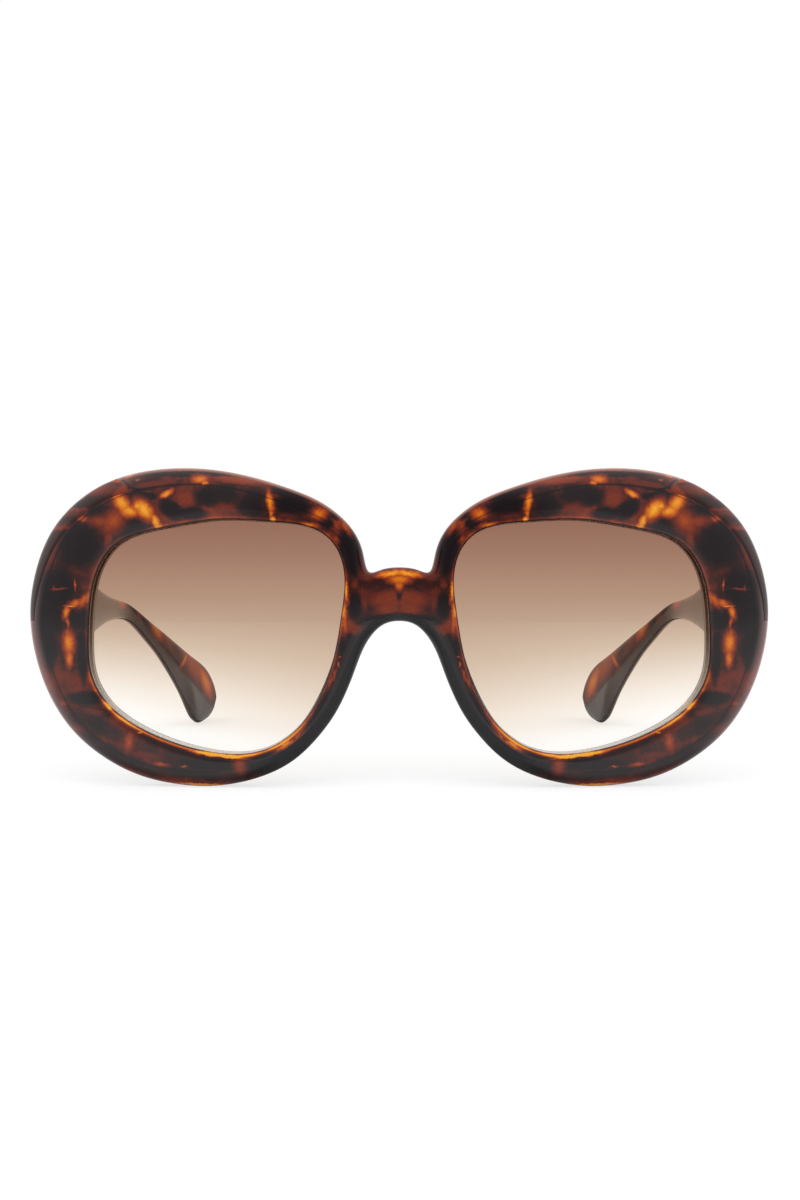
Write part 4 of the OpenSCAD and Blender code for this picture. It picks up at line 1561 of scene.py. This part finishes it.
@dataclass(frozen=True)
class FrontTortoise(Tortoise):
    """The tortoise of the front: its blotches lie at a distance from the middle and a height."""

    name: str = "tortoise_front"
    amber: tuple = (
        (70.3, 40.4, 0.6, 0.18, 84, 0.55), (69.3, 40.3, 1.7, 0.2, -3, 0.58),
        (68.5, 17, 1.2, 0.61, 0, 0.58), (67.7, 35.6, 1.4, 0.64, -74, 0.84),
        (67.8, 53.1, 1.3, 0.56, -51, 0.5), (67.4, 33.5, 1.2, 0.33, 76, 0.72),
        (67.4, 31.6, 0.9, 0.23, 90, 0.7), (67.2, 29.4, 2.4, 1.2, 88, 0.86),
        (67.1, 26.2, 2, 0.77, 90, 0.8), (66.8, 36.8, 1.2, 0.15, 0, 0.94),
        (65.9, 41.1, 1.1, 0.2, 85, 0.75), (65.8, 37.4, 1.5, 0.7, -27, 0.78),
        (64.6, 54.7, 1.2, 0.7, 0, 0.7), (64.2, 38, 1.8, 0.8, -58, 0.72),
        (59, 16.7, 1.1, 0.46, 40, 0.98), (59.1, 60.4, 1.5, 0.56, -11, 0.58),
        (58, 54.2, 3.2, 2.2, -51, 0.64), (60.6, 54, 2.6, 1.3, 5, 0.58),
        (56.5, 57.9, 2.6, 1.3, 48, 0.94), (54.8, 56.1, 1.9, 1.2, 6, 0.94),
        (55.4, 63.5, 0.8, 0.31, -17, 0.78), (54.9, 9.3, 2.4, 1.15, -78, 0.64),
        (53.4, 62.6, 0.5, 0.26, 0, 0.66), (53.1, 57.2, 1, 0.82, -18, 0.95),
        (52.8, 11.2, 0.5, 0.23, 0, 0.75), (51.8, 56.4, 2.4, 1.4, 49, 1),
        (49.4, 54.1, 1.8, 0.77, 60, 0.95), (48.4, 4.7, 1.8, 0.5, 5, 0.66),
        (47.2, 59.7, 1.5, 0.56, -25, 0.92), (43.6, 4.4, 0.8, 0.15, 0, 0.76),
        # The rows at 40.1 across and 0.5 up, at 36 and 6.6 and at 33.5 and 6.4 are painted light:
        # a glowing amber line along the bottom of the rim and along its lower lip.
        (40.5, 62.6, 1.8, 0.87, 0, 0.84), (40.1, 0.5, 6.4, 0.27, 2, 0.95),
        (39.5, 61.8, 0.8, 0.56, 0, 0.86), (36, 6.6, 4.4, 0.32, 7, 0.95),
        (33.5, 6.4, 1.6, 0.35, 0, 0.97), (32.2, 4.4, 1.8, 1.3, 84, 0.6),
        (26.1, 58, 2.3, 0.7, 80, 0.88), (25.8, 55.5, 1.2, 0.31, 84, 0.8),
        (25.4, 54.4, 0.5, 0.53, 90, 0.9), (22.9, 8.8, 2.2, 0.41, -32, 0.84),
        (20.4, 10.7, 1.3, 0.28, -54, 0.68), (17.8, 53.3, 2, 0.45, 12, 0.68),
        (16.2, 55.5, 1.6, 1.3, 0, 0.78), (13.8, 21.7, 1.6, 0.29, -71, 0.58),
        (13, 23.1, 1.5, 0.31, -71, 0.62), (12.7, 50.4, 1, 0.53, 51, 0.6),
        (12.2, 25.2, 0.5, 0.25, 90, 0.76), (11.9, 26.8, 0.3, 0.1, 0, 0.76),
        (11, 35.7, 1.8, 0.51, -87, 0.74), (10.9, 35, 2.7, 0.37, -84, 0.72),
        (10.8, 52.8, 2, 0.57, 53, 0.62), (10.6, 39.8, 2.2, 0.42, 85, 0.8),
        (10.9, 33.2, 2.2, 0.55, 88, 0.68), (1.7, 43.5, 3, 0.72, -8, 0.95),
        (0, 42.3, 2.4, 1, 0, 0.84), (0, 41, 0.9, 1.2, 0, 0.76),
    )
    red: tuple = (
        (72.2, 22.8, 4.1, 1.3, 71, 0.5), (71.1, 44.8, 1.5, 1.2, 79, 0.42),
        (69.7, 25.2, 2, 1.2, 90, 0.44), (68.8, 52, 4.1, 1.2, -56, 0.4),
        (66.5, 21.8, 2.8, 2, 11, 0.5), (66, 43.2, 2.8, 1.5, 0, 0.3),
        (62.3, 15.5, 3.1, 0.92, 9, 0.46), (61.4, 53.9, 4.9, 1, 5, 0.54),
        (61.2, 58.3, 4.1, 1.5, -24, 0.44), (59.2, 50.7, 2.3, 1, -73, 0.54),
        (52.2, 6.5, 5.4, 1.1, 5, 0.48), (51.1, 60.1, 1.5, 0.51, 0, 0.45),
        (49.9, 61.7, 5.6, 0.87, -7, 0.5), (47.2, 54.8, 2, 1, 11, 0.56),
        (43.2, 58.7, 3.1, 2.3, 0, 0.56), (38.3, 56.5, 2.3, 0.98, 11, 0.56),
        (38, 55.5, 2.8, 1.2, 6, 0.56), (35.7, 2.1, 2.5, 0.88, 0, 0.42),
        (33.6, 62.5, 7, 0.98, 7, 0.58), (33.2, 58.1, 2.3, 1.1, -79, 0.34),
        (32.1, 4.6, 3.4, 2, 0, 0.5), (25.4, 58.1, 3.1, 1.8, 84, 0.48),
        (24.9, 60.9, 4.1, 0.82, 17, 0.5), (16.5, 55.2, 2.6, 1.8, 0, 0.5),
        (14.5, 19.2, 2.3, 0.74, -68, 0.42), (11.8, 52.6, 2.9, 1.5, 49, 0.6),
        (10.2, 33.1, 2.6, 1.8, 0, 0.56), (9.3, 32.2, 2.4, 1.6, 0, 0.52),
        (8.9, 41.8, 2.3, 0.87, 90, 0.5), (8.2, 44.4, 2.8, 0.97, 76, 0.47),
        (2.2, 38.2, 5, 2.5, 0, 0.56), (2.1, 36.3, 3.1, 1.3, 0, 0.56),
    )
    dark: tuple = (
        (42.6, 63.8, 8, 0.6, 0, 0.8), (72.1, 34.1, 2.8, 4.6, 90), (72.1, 30.1, 5.1, 2, 84),
        (69.5, 40.3, 3.3, 3.8, 0), (65, 49, 3.8, 3.8, 90), (64.7, 34.1, 1.8, 3.8, 90),
        (64.4, 26.8, 4.6, 0.87, 87), (63.7, 18.2, 3.2, 1.1, 0), (61.8, 58.4, 1.5, 0.77, -22),
        (60.7, 56.3, 2.1, 1, 3), (60, 12, 4.9, 1.5, 24, 0.5), (57.5, 6.2, 9.7, 1.6, 24, 0.55),
        (54.2, 52.8, 3.1, 1.6, -6), (52.8, 59.1, 3.3, 0.72, 0), (47.2, 9.7, 6.7, 1.6, 19, 0.45),
        (46.2, 56.4, 2.3, 1.4, 36), (42.2, 55.7, 2.9, 0.97, 3), (42, 2.9, 6.7, 1, 5, 0.6),
        (38.9, 4.8, 5.3, 0.97, 3), (38.5, 59.2, 2.6, 1.8, 0, 0.88),
        (35.6, 59.4, 3.9, 1.5, 9, 0.75), (30, 57.7, 2.3, 2.3, 0, 0.8), (26, 5.6, 5.3, 1.7, -17),
        (22.2, 59.5, 3.7, 0.92, 21), (21.7, 57.3, 3.4, 1.6, 6), (18, 8.7, 3.5, 1.6, -31),
        (15.2, 15.9, 4.7, 1.6, -59), (14.6, 53.5, 1.2, 0.78, 0), (13.9, 55.7, 2.5, 0.53, 31),
        (10.5, 48.2, 3.1, 1.5, 79), (10.1, 28.9, 1.8, 1.9, 0), (10.1, 25, 5.5, 1.7, -66),
        (10, 47.7, 4.4, 1.6, 79), (8.9, 37.1, 2.5, 1.1, 88), (4.5, 41, 2.4, 1.7, 0, 0.25),
        # The last three rows are painted shade: a thin dark line along the top of the seam, where
        # the temple root meets the front.
        (3.5, 34.2, 4.3, 0.86, -5), (0, 39.5, 1.5, 0.4, 90, 0.62), (56.8, 62.8, 1.1, 0.17, 37),
        (55.5, 61.7, 1.1, 0.2, 47), (53.5, 60.7, 1.7, 0.2, 9),
    )
    pale: tuple = (206, 150, 134)
    pale_line: Fade = Fade(0.76, 0.98, 0.0, 0.7)
    pale_height: Fade = Fade(6.0, 17.0)
    rosy: tuple = (204, 122, 118)
    rosy_edge: Fade = Fade(0.2, 0.6, 0.0, 0.14)
    rosy_above: Fade = Fade(14.0, 26.0)
    rosy_under: Fade = Fade(33.0, 42.0, 1.0, 0.0)
    charcoal: tuple = (54, 54, 56)
    nose_mark: Fade = Fade(-0.15, 0.0)
    nose_across: Fade = Fade(24.0, 33.0, 1.0, 0.0)
    nose_height: Fade = Fade(34.0, 37.0, 1.0, 0.0)
    wall_tones: tuple = ((0.0, 244, 242, 238), (1.0, 150, 138, 124))
    wall_mark: Fade = Fade(WALL + 0.1, WALL + 0.6, 1.0, 0.0)
    wall_height: Fade = Fade(10.0, 34.0)
    shade_middle: tuple = (12, 51)
    shade_size: tuple = (26, 18)
    shade: Fade = Fade(0.0, 0.5, 0.5, 0.1, smooth=True)
    outside: Fade = Fade(0.2, 0.6)
    side_height: Fade = Fade(8.0, 16.0)
    side_across: Fade = Fade(50.0, 60.0, 0.0, 0.5)
    foot: Fade = Fade(4.0, 9.0, -0.36, 0.0)
    rear_span: float = 0.25
    dull: float = -0.45
    least: float = 0.02

    def cover(self, n: Surface, colour: object) -> object:
        """Lays painted light over the blotches: a highlight along the outer edge, a sheen below
        the temples and light on the groove wall, and flat charcoal on the edge beside the nose.

        Args:
            n: The material being built.
            colour: Socket of the colour of the plastic.

        Returns:
            Socket of the colour.
        """
        # Painted highlight: a pale pink line along the outer edge, fading out towards the bottom
        # and left off beside the nose.
        high = n.fade(n.z, self.pale_height)
        line = n.math("MULTIPLY", n.fade(n.mark, self.pale_line), high)
        colour = n.mix(n.math("MULTIPLY", line, self.away(n)), colour, screen(*self.pale))
        # Painted sheen on the outer edge below the temples.
        colour = n.mix(self.side_sheen(n), colour, screen(*self.rosy))
        colour = n.mix(self.nose_edge(n), colour, screen(*self.charcoal))
        # Painted light on the wall of the lens groove: near white at the bottom and grey-brown
        # higher up, for the light that comes through the edge of the lens.
        lit = n.ramp(n.fade(n.z, self.wall_height), screen_stops(self.wall_tones))
        return n.mix(n.fade(n.mark, self.wall_mark), colour, lit)

    def side_sheen(self, n: Surface) -> object:
        """How far a painted sheen, a pinkish reflection painted into the colour, tints the outer
        edge below the temples.

        Args:
            n: The material being built.

        Returns:
            Socket of the share.
        """
        band = n.math("MULTIPLY", n.fade(n.z, self.rosy_above), n.fade(n.z, self.rosy_under))
        edge = n.math("MULTIPLY", n.fade(n.mark, self.rosy_edge), band)
        return n.math("MULTIPLY", edge, self.away(n))

    def nose_edge(self, n: Surface) -> object:
        """1 on the outer edge of the rims beside the nose, below the bridge, and 0 elsewhere."""
        low = n.math("MULTIPLY", n.fade(n.across, self.nose_across), n.fade(n.z, self.nose_height))
        return n.math("MULTIPLY", n.fade(n.mark, self.nose_mark), low)

    def gloss(self, n: Surface) -> object:
        """How strongly the front mirrors.

        Weaker above the nose, where the rims shade each other, on the edge beside the nose, on
        the rear lip and at the bottom, and stronger on the outer edge below the temples.

        Args:
            n: The material being built.

        Returns:
            Socket of the strength.
        """
        ball = n.ball(n.vector(n.across, n.z), self.shade_middle, self.shade_size)
        base = n.fade(ball, self.shade)
        outside = n.fade(n.mark, self.outside)
        high = n.fade(n.z, self.side_height)
        side = n.math("MULTIPLY", high, n.fade(n.across, self.side_across))
        foot = n.math("MULTIPLY", outside, n.fade(n.z, self.foot))
        more = n.math("ADD", n.math("MULTIPLY", outside, side), foot)
        rear = n.math("COMPARE", n.mark, REAR_LIP, self.rear_span)
        less = n.math("MULTIPLY", n.math("MAXIMUM", rear, self.nose_edge(n)), self.dull)
        return n.math("MAXIMUM", n.math("ADD", base, n.math("ADD", more, less)), self.least)


@dataclass(frozen=True)
class TempleTortoise(Tortoise):
    """The tortoise of a temple: its blotches lie at a depth behind the middle and a height."""

    name: str = "tortoise_temple"
    cloud: Fade = Fade(0.38, 0.66, 0.16, 0.56, smooth=True)
    coat_ior: float = 2.6
    amber: tuple = (
        (9.5, 30.2, 6, 2.3, -20, 0.9), (37.3, 20.7, 5.4, 1.1, 20, 0.86),
        (61.5, 12.9, 9.5, 3.5, -28, 0.88), (-70, 52.9, 4, 0.5, 0, 0.48),
        (-71, 62.4, 3, 0.4, 0, 0.6),
    )
    red: tuple = (
        (48, 19, 20, 5, -21, 0.68), (20, 28.5, 16, 4, -24, 0.57), (-71, 60.6, 5, 1.3, 0, 0.42),
        (-71, 56, 5, 0.8, 0, 0.36), (-71, 53.2, 5, 0.9, 0, 0.42),
    )
    dark: tuple = (
        (2, 33, 3.5, 1.5, 0), (28.6, 23.9, 5, 1.1, -20, 0.4), (-70, 57.9, 5, 0.7, 0),
        (-70, 46, 6, 6, 0, 0.85), (-69, 39, 5, 4, 0), (-52, 44, 9, 5, 0),
    )
    inner_mark: Fade = Fade(INNER, 0.0, 1.0, 0.0)
    strip_tones: tuple = ((0.0, 62, 54, 54), (1.0, 46, 44, 46))
    strip_depth: Fade = Fade(42.0, 60.0)
    strip_slope: float = 0.381
    strip_top: Fade = Fade(30.0, 31.2, 1.0, 0.0)
    neck_tones: tuple = ((0.3, 86, 76, 76), (0.7, 112, 102, 102))
    neck_lines: float = 0.9
    neck_depth: Fade = Fade(-27.0, -10.0, 1.0, 0.0, smooth=True)
    low_mark: Fade = Fade(1.9 * INNER, 1.2 * INNER, 1.0, 0.0)
    low_colour: tuple = (40, 30, 30)
    spot: tuple = ((-19.6, 37.3, 2.6, 1.3, 0, 1.0),)
    spot_edge: tuple = (1.6, 0.7)
    spot_colour: tuple = (232, 100, 44)
    face_gloss: Fade = Fade(first=0.5, last=0.01)
    strip_gloss: Fade = Fade(20.0, 60.0, 0.12, 0.01)

    def plane(self, n: Surface) -> tuple[object, object]:
        """The depth and the height of the surface."""
        return n.y, n.z

    def inner(self, n: Surface) -> object:
        """1 on the inner face behind the root and 0 on the rest."""
        return n.fade(n.mark, self.inner_mark)

    def strip(self, n: Surface) -> object:
        """1 on the slanted lower strip of the inner face."""
        level = n.math("MULTIPLY_ADD", n.y, self.strip_slope, n.z)
        return n.math("MULTIPLY", n.fade(level, self.strip_top), self.inner(n))

    def neck(self, n: Surface) -> object:
        """1 on the inner face of the neck."""
        return n.math("MULTIPLY", n.fade(n.y, self.neck_depth), self.inner(n))

    def above_low_edge(self, n: Surface) -> object:
        """0 on the lower edge of the inner face and 1 on the rest."""
        return n.math("SUBTRACT", 1.0, n.fade(n.mark, self.low_mark))

    def cover(self, n: Surface, colour: object) -> object:
        """Lays painted shade on the slanted lower strip, a grey painted sheen on the neck and an
        orange spot over the inner face.

        Args:
            n: The material being built.
            colour: Socket of the colour of the plastic.

        Returns:
            Socket of the colour.
        """
        # Painted shade: a flat, darker colour on the slanted lower strip of the inner face, which
        # leans down away from the light.
        dark = n.ramp(n.fade(n.y, self.strip_depth), screen_stops(self.strip_tones))
        colour = n.mix(self.strip(n), colour, dark)
        # Painted sheen: the inner face of the neck is painted grey with streaks, for the white
        # surroundings that it mirrors, under its coat; its lower edge keeps a dark colour without
        # the sheen.
        line = n.noise(n.vector(n.y), self.neck_lines, detail=2).outputs[0]
        grey = n.ramp(line, screen_stops(self.neck_tones))
        grey = n.mix(n.fade(n.mark, self.low_mark), grey, screen(*self.low_colour))
        colour = n.mix(self.neck(n), colour, grey)
        spot = self.spots(n, n.vector(*self.plane(n)), self.spot, self.spot_edge)
        return n.mix(spot, colour, screen(*self.spot_colour))

    def gloss(self, n: Surface) -> object:
        """How strongly a temple mirrors, weaker on the inner faces, which mirror each other.

        Args:
            n: The material being built.

        Returns:
            Socket of the strength.
        """
        face = n.fade(self.inner(n), self.face_gloss)
        more = n.fade(n.y, self.strip_gloss)
        return n.math("MULTIPLY", n.math("MULTIPLY_ADD", self.strip(n), more, face),
                      self.above_low_edge(n))

    def coat(self, n: Surface) -> object:
        """A strong gloss on the neck, which mirrors the white surroundings."""
        return n.math("MULTIPLY", self.neck(n), self.above_low_edge(n))


@dataclass(frozen=True)
class GradientLens:
    """Brown lens whose tint fades downwards.

    Each tint is a height in millimetres and the screen colour that white has through the lens.
    The tilt raises the levels of the tint towards the nose, by height.
    """

    name: str = "gradient_lens"
    tints: tuple = (
        (9.0, 254, 252, 248), (18.0, 238, 225, 211), (28.0, 209, 186, 164),
        (38.0, 184, 151, 128), (48.0, 162, 122, 102), (56.0, 147, 104, 86),
    )
    tilt: Fade = Fade(18.0, 38.0, 0.22, 0.0)
    middle: float = 34.0
    ior: float = 1.4
    gloss_rough: float = 0.03
    gloss_share: float = 0.6

    def build(self) -> bpy.types.Material:
        """Makes the material: a tinted clear body under a thin gloss.

        Returns:
            The material.
        """
        n = Surface(self.name)
        inward = n.math("SUBTRACT", self.middle, n.across)
        level = n.math("MULTIPLY_ADD", n.fade(n.z, self.tilt), inward, n.z)
        low, high = self.tints[0][0], self.tints[-1][0]
        tint = n.ramp(n.fade(level, Fade(low, high)), [
            ((height - low) / (high - low), tuple(math.sqrt(v) for v in screen(*colour)))
            for height, *colour in self.tints
        ])
        body = n.node("BsdfTransparent", {0: tint}).outputs[0]
        gloss = n.node("BsdfAnisotropic", {"Color": WHITE, "Roughness": self.gloss_rough})
        fresnel = n.node("Fresnel", {"IOR": self.ior}).outputs[0]
        share = n.math("MULTIPLY", fresnel, self.gloss_share)
        return n.finish(n.node("MixShader", {0: share, 1: body, 2: gloss.outputs[0]}).outputs[0])


@dataclass(frozen=True)
class Nickel:
    """Brushed nickel of the hinges and screws."""

    name: str = "nickel"
    tones: tuple = ((0.3, 172, 170, 166), (0.7, 208, 206, 200))
    streaks: tuple = (400, 400, 6000)
    rough: Fade = Fade(first=0.22, last=0.38)
    streak_depth: float = 0.00005
    streak_strength: float = 0.15

    def build(self) -> bpy.types.Material:
        """Makes the material.

        Returns:
            The material.
        """
        n = Nodes(bpy.data.materials.new(self.name), "OutputMaterial")
        place = n.node("TexCoord").outputs["Object"]
        stretched = n.node("Mapping", {"Vector": place, "Scale": self.streaks}).outputs[0]
        streak = n.noise(stretched, scale=1, detail=3).outputs[0]
        bump = n.node("Bump", {
            "Strength": self.streak_strength, "Distance": self.streak_depth, "Height": streak})
        shader = n.node("BsdfPrincipled", {
            "Base Color": n.ramp(streak, screen_stops(self.tones)),
            "Roughness": n.fade(streak, self.rough), "Metallic": 1.0, "Normal": bump.outputs[0]})
        return n.finish(shader.outputs[0])


@dataclass
class Hardware:
    """The metal hinges and screws, which stay the CAD's own solids."""

    bevel: float = 0.08
    bevel_steps: int = 2
    kinds: tuple = (
        "front_hinge", "temple_hinge", "pivot_screw", "front_leaf_screws", "temple_leaf_screws",
    )

    def dress(self, material: bpy.types.Material) -> None:
        """Gives each metal node its finish and softened edges.

        Args:
            material: The finish.
        """
        for kind in self.kinds:
            for side in Side:
                node = frame["nodes"][f"{kind}_{side.label}"]
                paint(node, material)
                soften = node.modifiers.new("soft_edges", "BEVEL")
                soften.width = self.bevel * MM
                soften.segments = self.bevel_steps
                soften.limit_method = "ANGLE"
                LOG.info("%s is dressed", node.name)


@dataclass
class Studio:
    """The white floor, the light and the camera.

    Sizes and places are in millimetres and angles in degrees, but the fades of the floor run over
    metres and the fade of the world over the direction, which is -1 in front and 1 behind.
    """

    camera_place: tuple = (0.16, -322.5, 38.1)
    lens: float = 37.0
    sensor: float = 36.0
    clip_start: float = 10.0
    floor_size: float = 6000.0
    floor_grey: float = 0.8
    floor_seen: float = 0.4
    floor_mirror: Fade = Fade(-0.3, 0.0)
    floor_glow: Fade = Fade(0.2, 2.0, 0.69, 0.63)
    world_light: float = 0.6
    world_mirror: Fade = Fade(-0.95, -0.1, 0.4, 1.0, smooth=True)
    sun_light: float = 1.3
    sun_spread: float = 75.0
    sun_lean: float = 38.0

    def build(self, low: float) -> None:
        """Builds the studio round the object.

        Args:
            low: Height of the object's lowest point in metres.
        """
        self.place_camera()
        self.place_floor(low)
        self.light_world()
        self.place_lamp()
        bpy.context.scene.view_settings.view_transform = "Standard"

    def place_camera(self) -> None:
        """Places the camera level, straight in front."""
        data = bpy.data.cameras.new("camera")
        data.lens = self.lens
        data.sensor_width = self.sensor
        data.clip_start = self.clip_start * MM
        camera = bpy.data.objects.new("camera", data)
        camera.location = tuple(value * MM for value in self.camera_place)
        camera.rotation_euler = (math.pi / 2, 0, 0)
        bpy.context.scene.collection.objects.link(camera)
        bpy.context.scene.camera = camera

    def place_floor(self, low: float) -> None:
        """Lays the floor, which shows white and keeps the object's shadow.

        Args:
            low: Height of the floor in metres.
        """
        half = self.floor_size / 2
        z = low / MM
        points = [[-half, -half, z], [half, -half, z], [half, half, z], [-half, half, z]]
        floor = make_mesh("floor", np.array(points, float), [[0, 1, 2, 3]])
        n = Nodes(bpy.data.materials.new("floor_white"), "OutputMaterial")
        light = n.node("LightPath").outputs
        place = n.node("TexCoord").outputs["Object"]
        near = n.fade(n.node("SeparateXYZ", {0: place}).outputs[1], self.floor_mirror)
        away = n.node("VectorMath", {0: place}, operation="LENGTH").outputs["Value"]
        mirror = n.math("MULTIPLY", light["Is Glossy Ray"], near)
        seen = n.math("MAXIMUM", light["Is Camera Ray"], mirror)
        seen = n.math("MAXIMUM", seen, light["Is Transmission Ray"])
        grey = (self.floor_grey, self.floor_grey, self.floor_grey, 1)
        dim = (self.floor_seen, self.floor_seen, self.floor_seen, 1)
        body = n.node("BsdfDiffuse", {0: n.mix(seen, grey, dim)}).outputs[0]
        strength = n.math("MULTIPLY", seen, n.fade(away, self.floor_glow))
        glow = n.node("Emission", {0: WHITE, 1: strength}).outputs[0]
        paint(floor, n.finish(n.node("AddShader", {0: body, 1: glow}).outputs[0]))
        floor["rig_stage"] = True

    def light_world(self) -> None:
        """Lights the scene evenly, white to the camera and dimmer behind it in reflections."""
        world = bpy.data.worlds.new("studio")
        bpy.context.scene.world = world
        n = Nodes(world, "OutputWorld")
        light = n.node("LightPath").outputs
        split = n.node("SeparateXYZ", {0: n.node("TexCoord").outputs["Generated"]})
        level = n.fade(split.outputs[1], self.world_mirror)
        mirror = n.node("Background", {0: WHITE, 1: level}).outputs[0]
        soft = n.node("Background", {0: WHITE, 1: self.world_light}).outputs[0]
        white = n.node("Background", {0: WHITE}).outputs[0]
        first = n.node("MixShader", {0: light["Is Glossy Ray"], 1: soft, 2: mirror}).outputs[0]
        seen = n.math("MAXIMUM", light["Is Camera Ray"], light["Is Transmission Ray"])
        n.finish(n.node("MixShader", {0: seen, 1: first, 2: white}).outputs[0])

    def place_lamp(self) -> None:
        """Hangs one wide soft sun above the front, which lights the floor evenly."""
        data = bpy.data.lights.new("sun_top", "SUN")
        data.energy = self.sun_light
        data.angle = math.radians(self.sun_spread)
        lamp = bpy.data.objects.new("sun_top", data)
        lamp.rotation_euler = (math.radians(self.sun_lean), 0, 0)
        lamp.visible_glossy = False
        bpy.context.scene.collection.objects.link(lamp)


def main() -> None:
    """Builds and dresses the sub-assemblies in order, then the studio."""
    logging.basicConfig(level=logging.INFO, format="%(message)s")
    rim = RimShape()
    seam = Seam(rim)
    hinge = HingeShape(rim)
    tortoise = TempleTortoise().build()
    glass = GradientLens().build()
    Front(rim, seam, hinge).dress(FrontTortoise().build())
    for side in Side:
        Lens(rim).dress(side, glass)
        Temple(rim, seam, hinge).dress(side, tortoise)
    Hardware().dress(Nickel().build())
    low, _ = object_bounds()
    Studio().build(low.z)


if __name__ == "__main__":
    main()
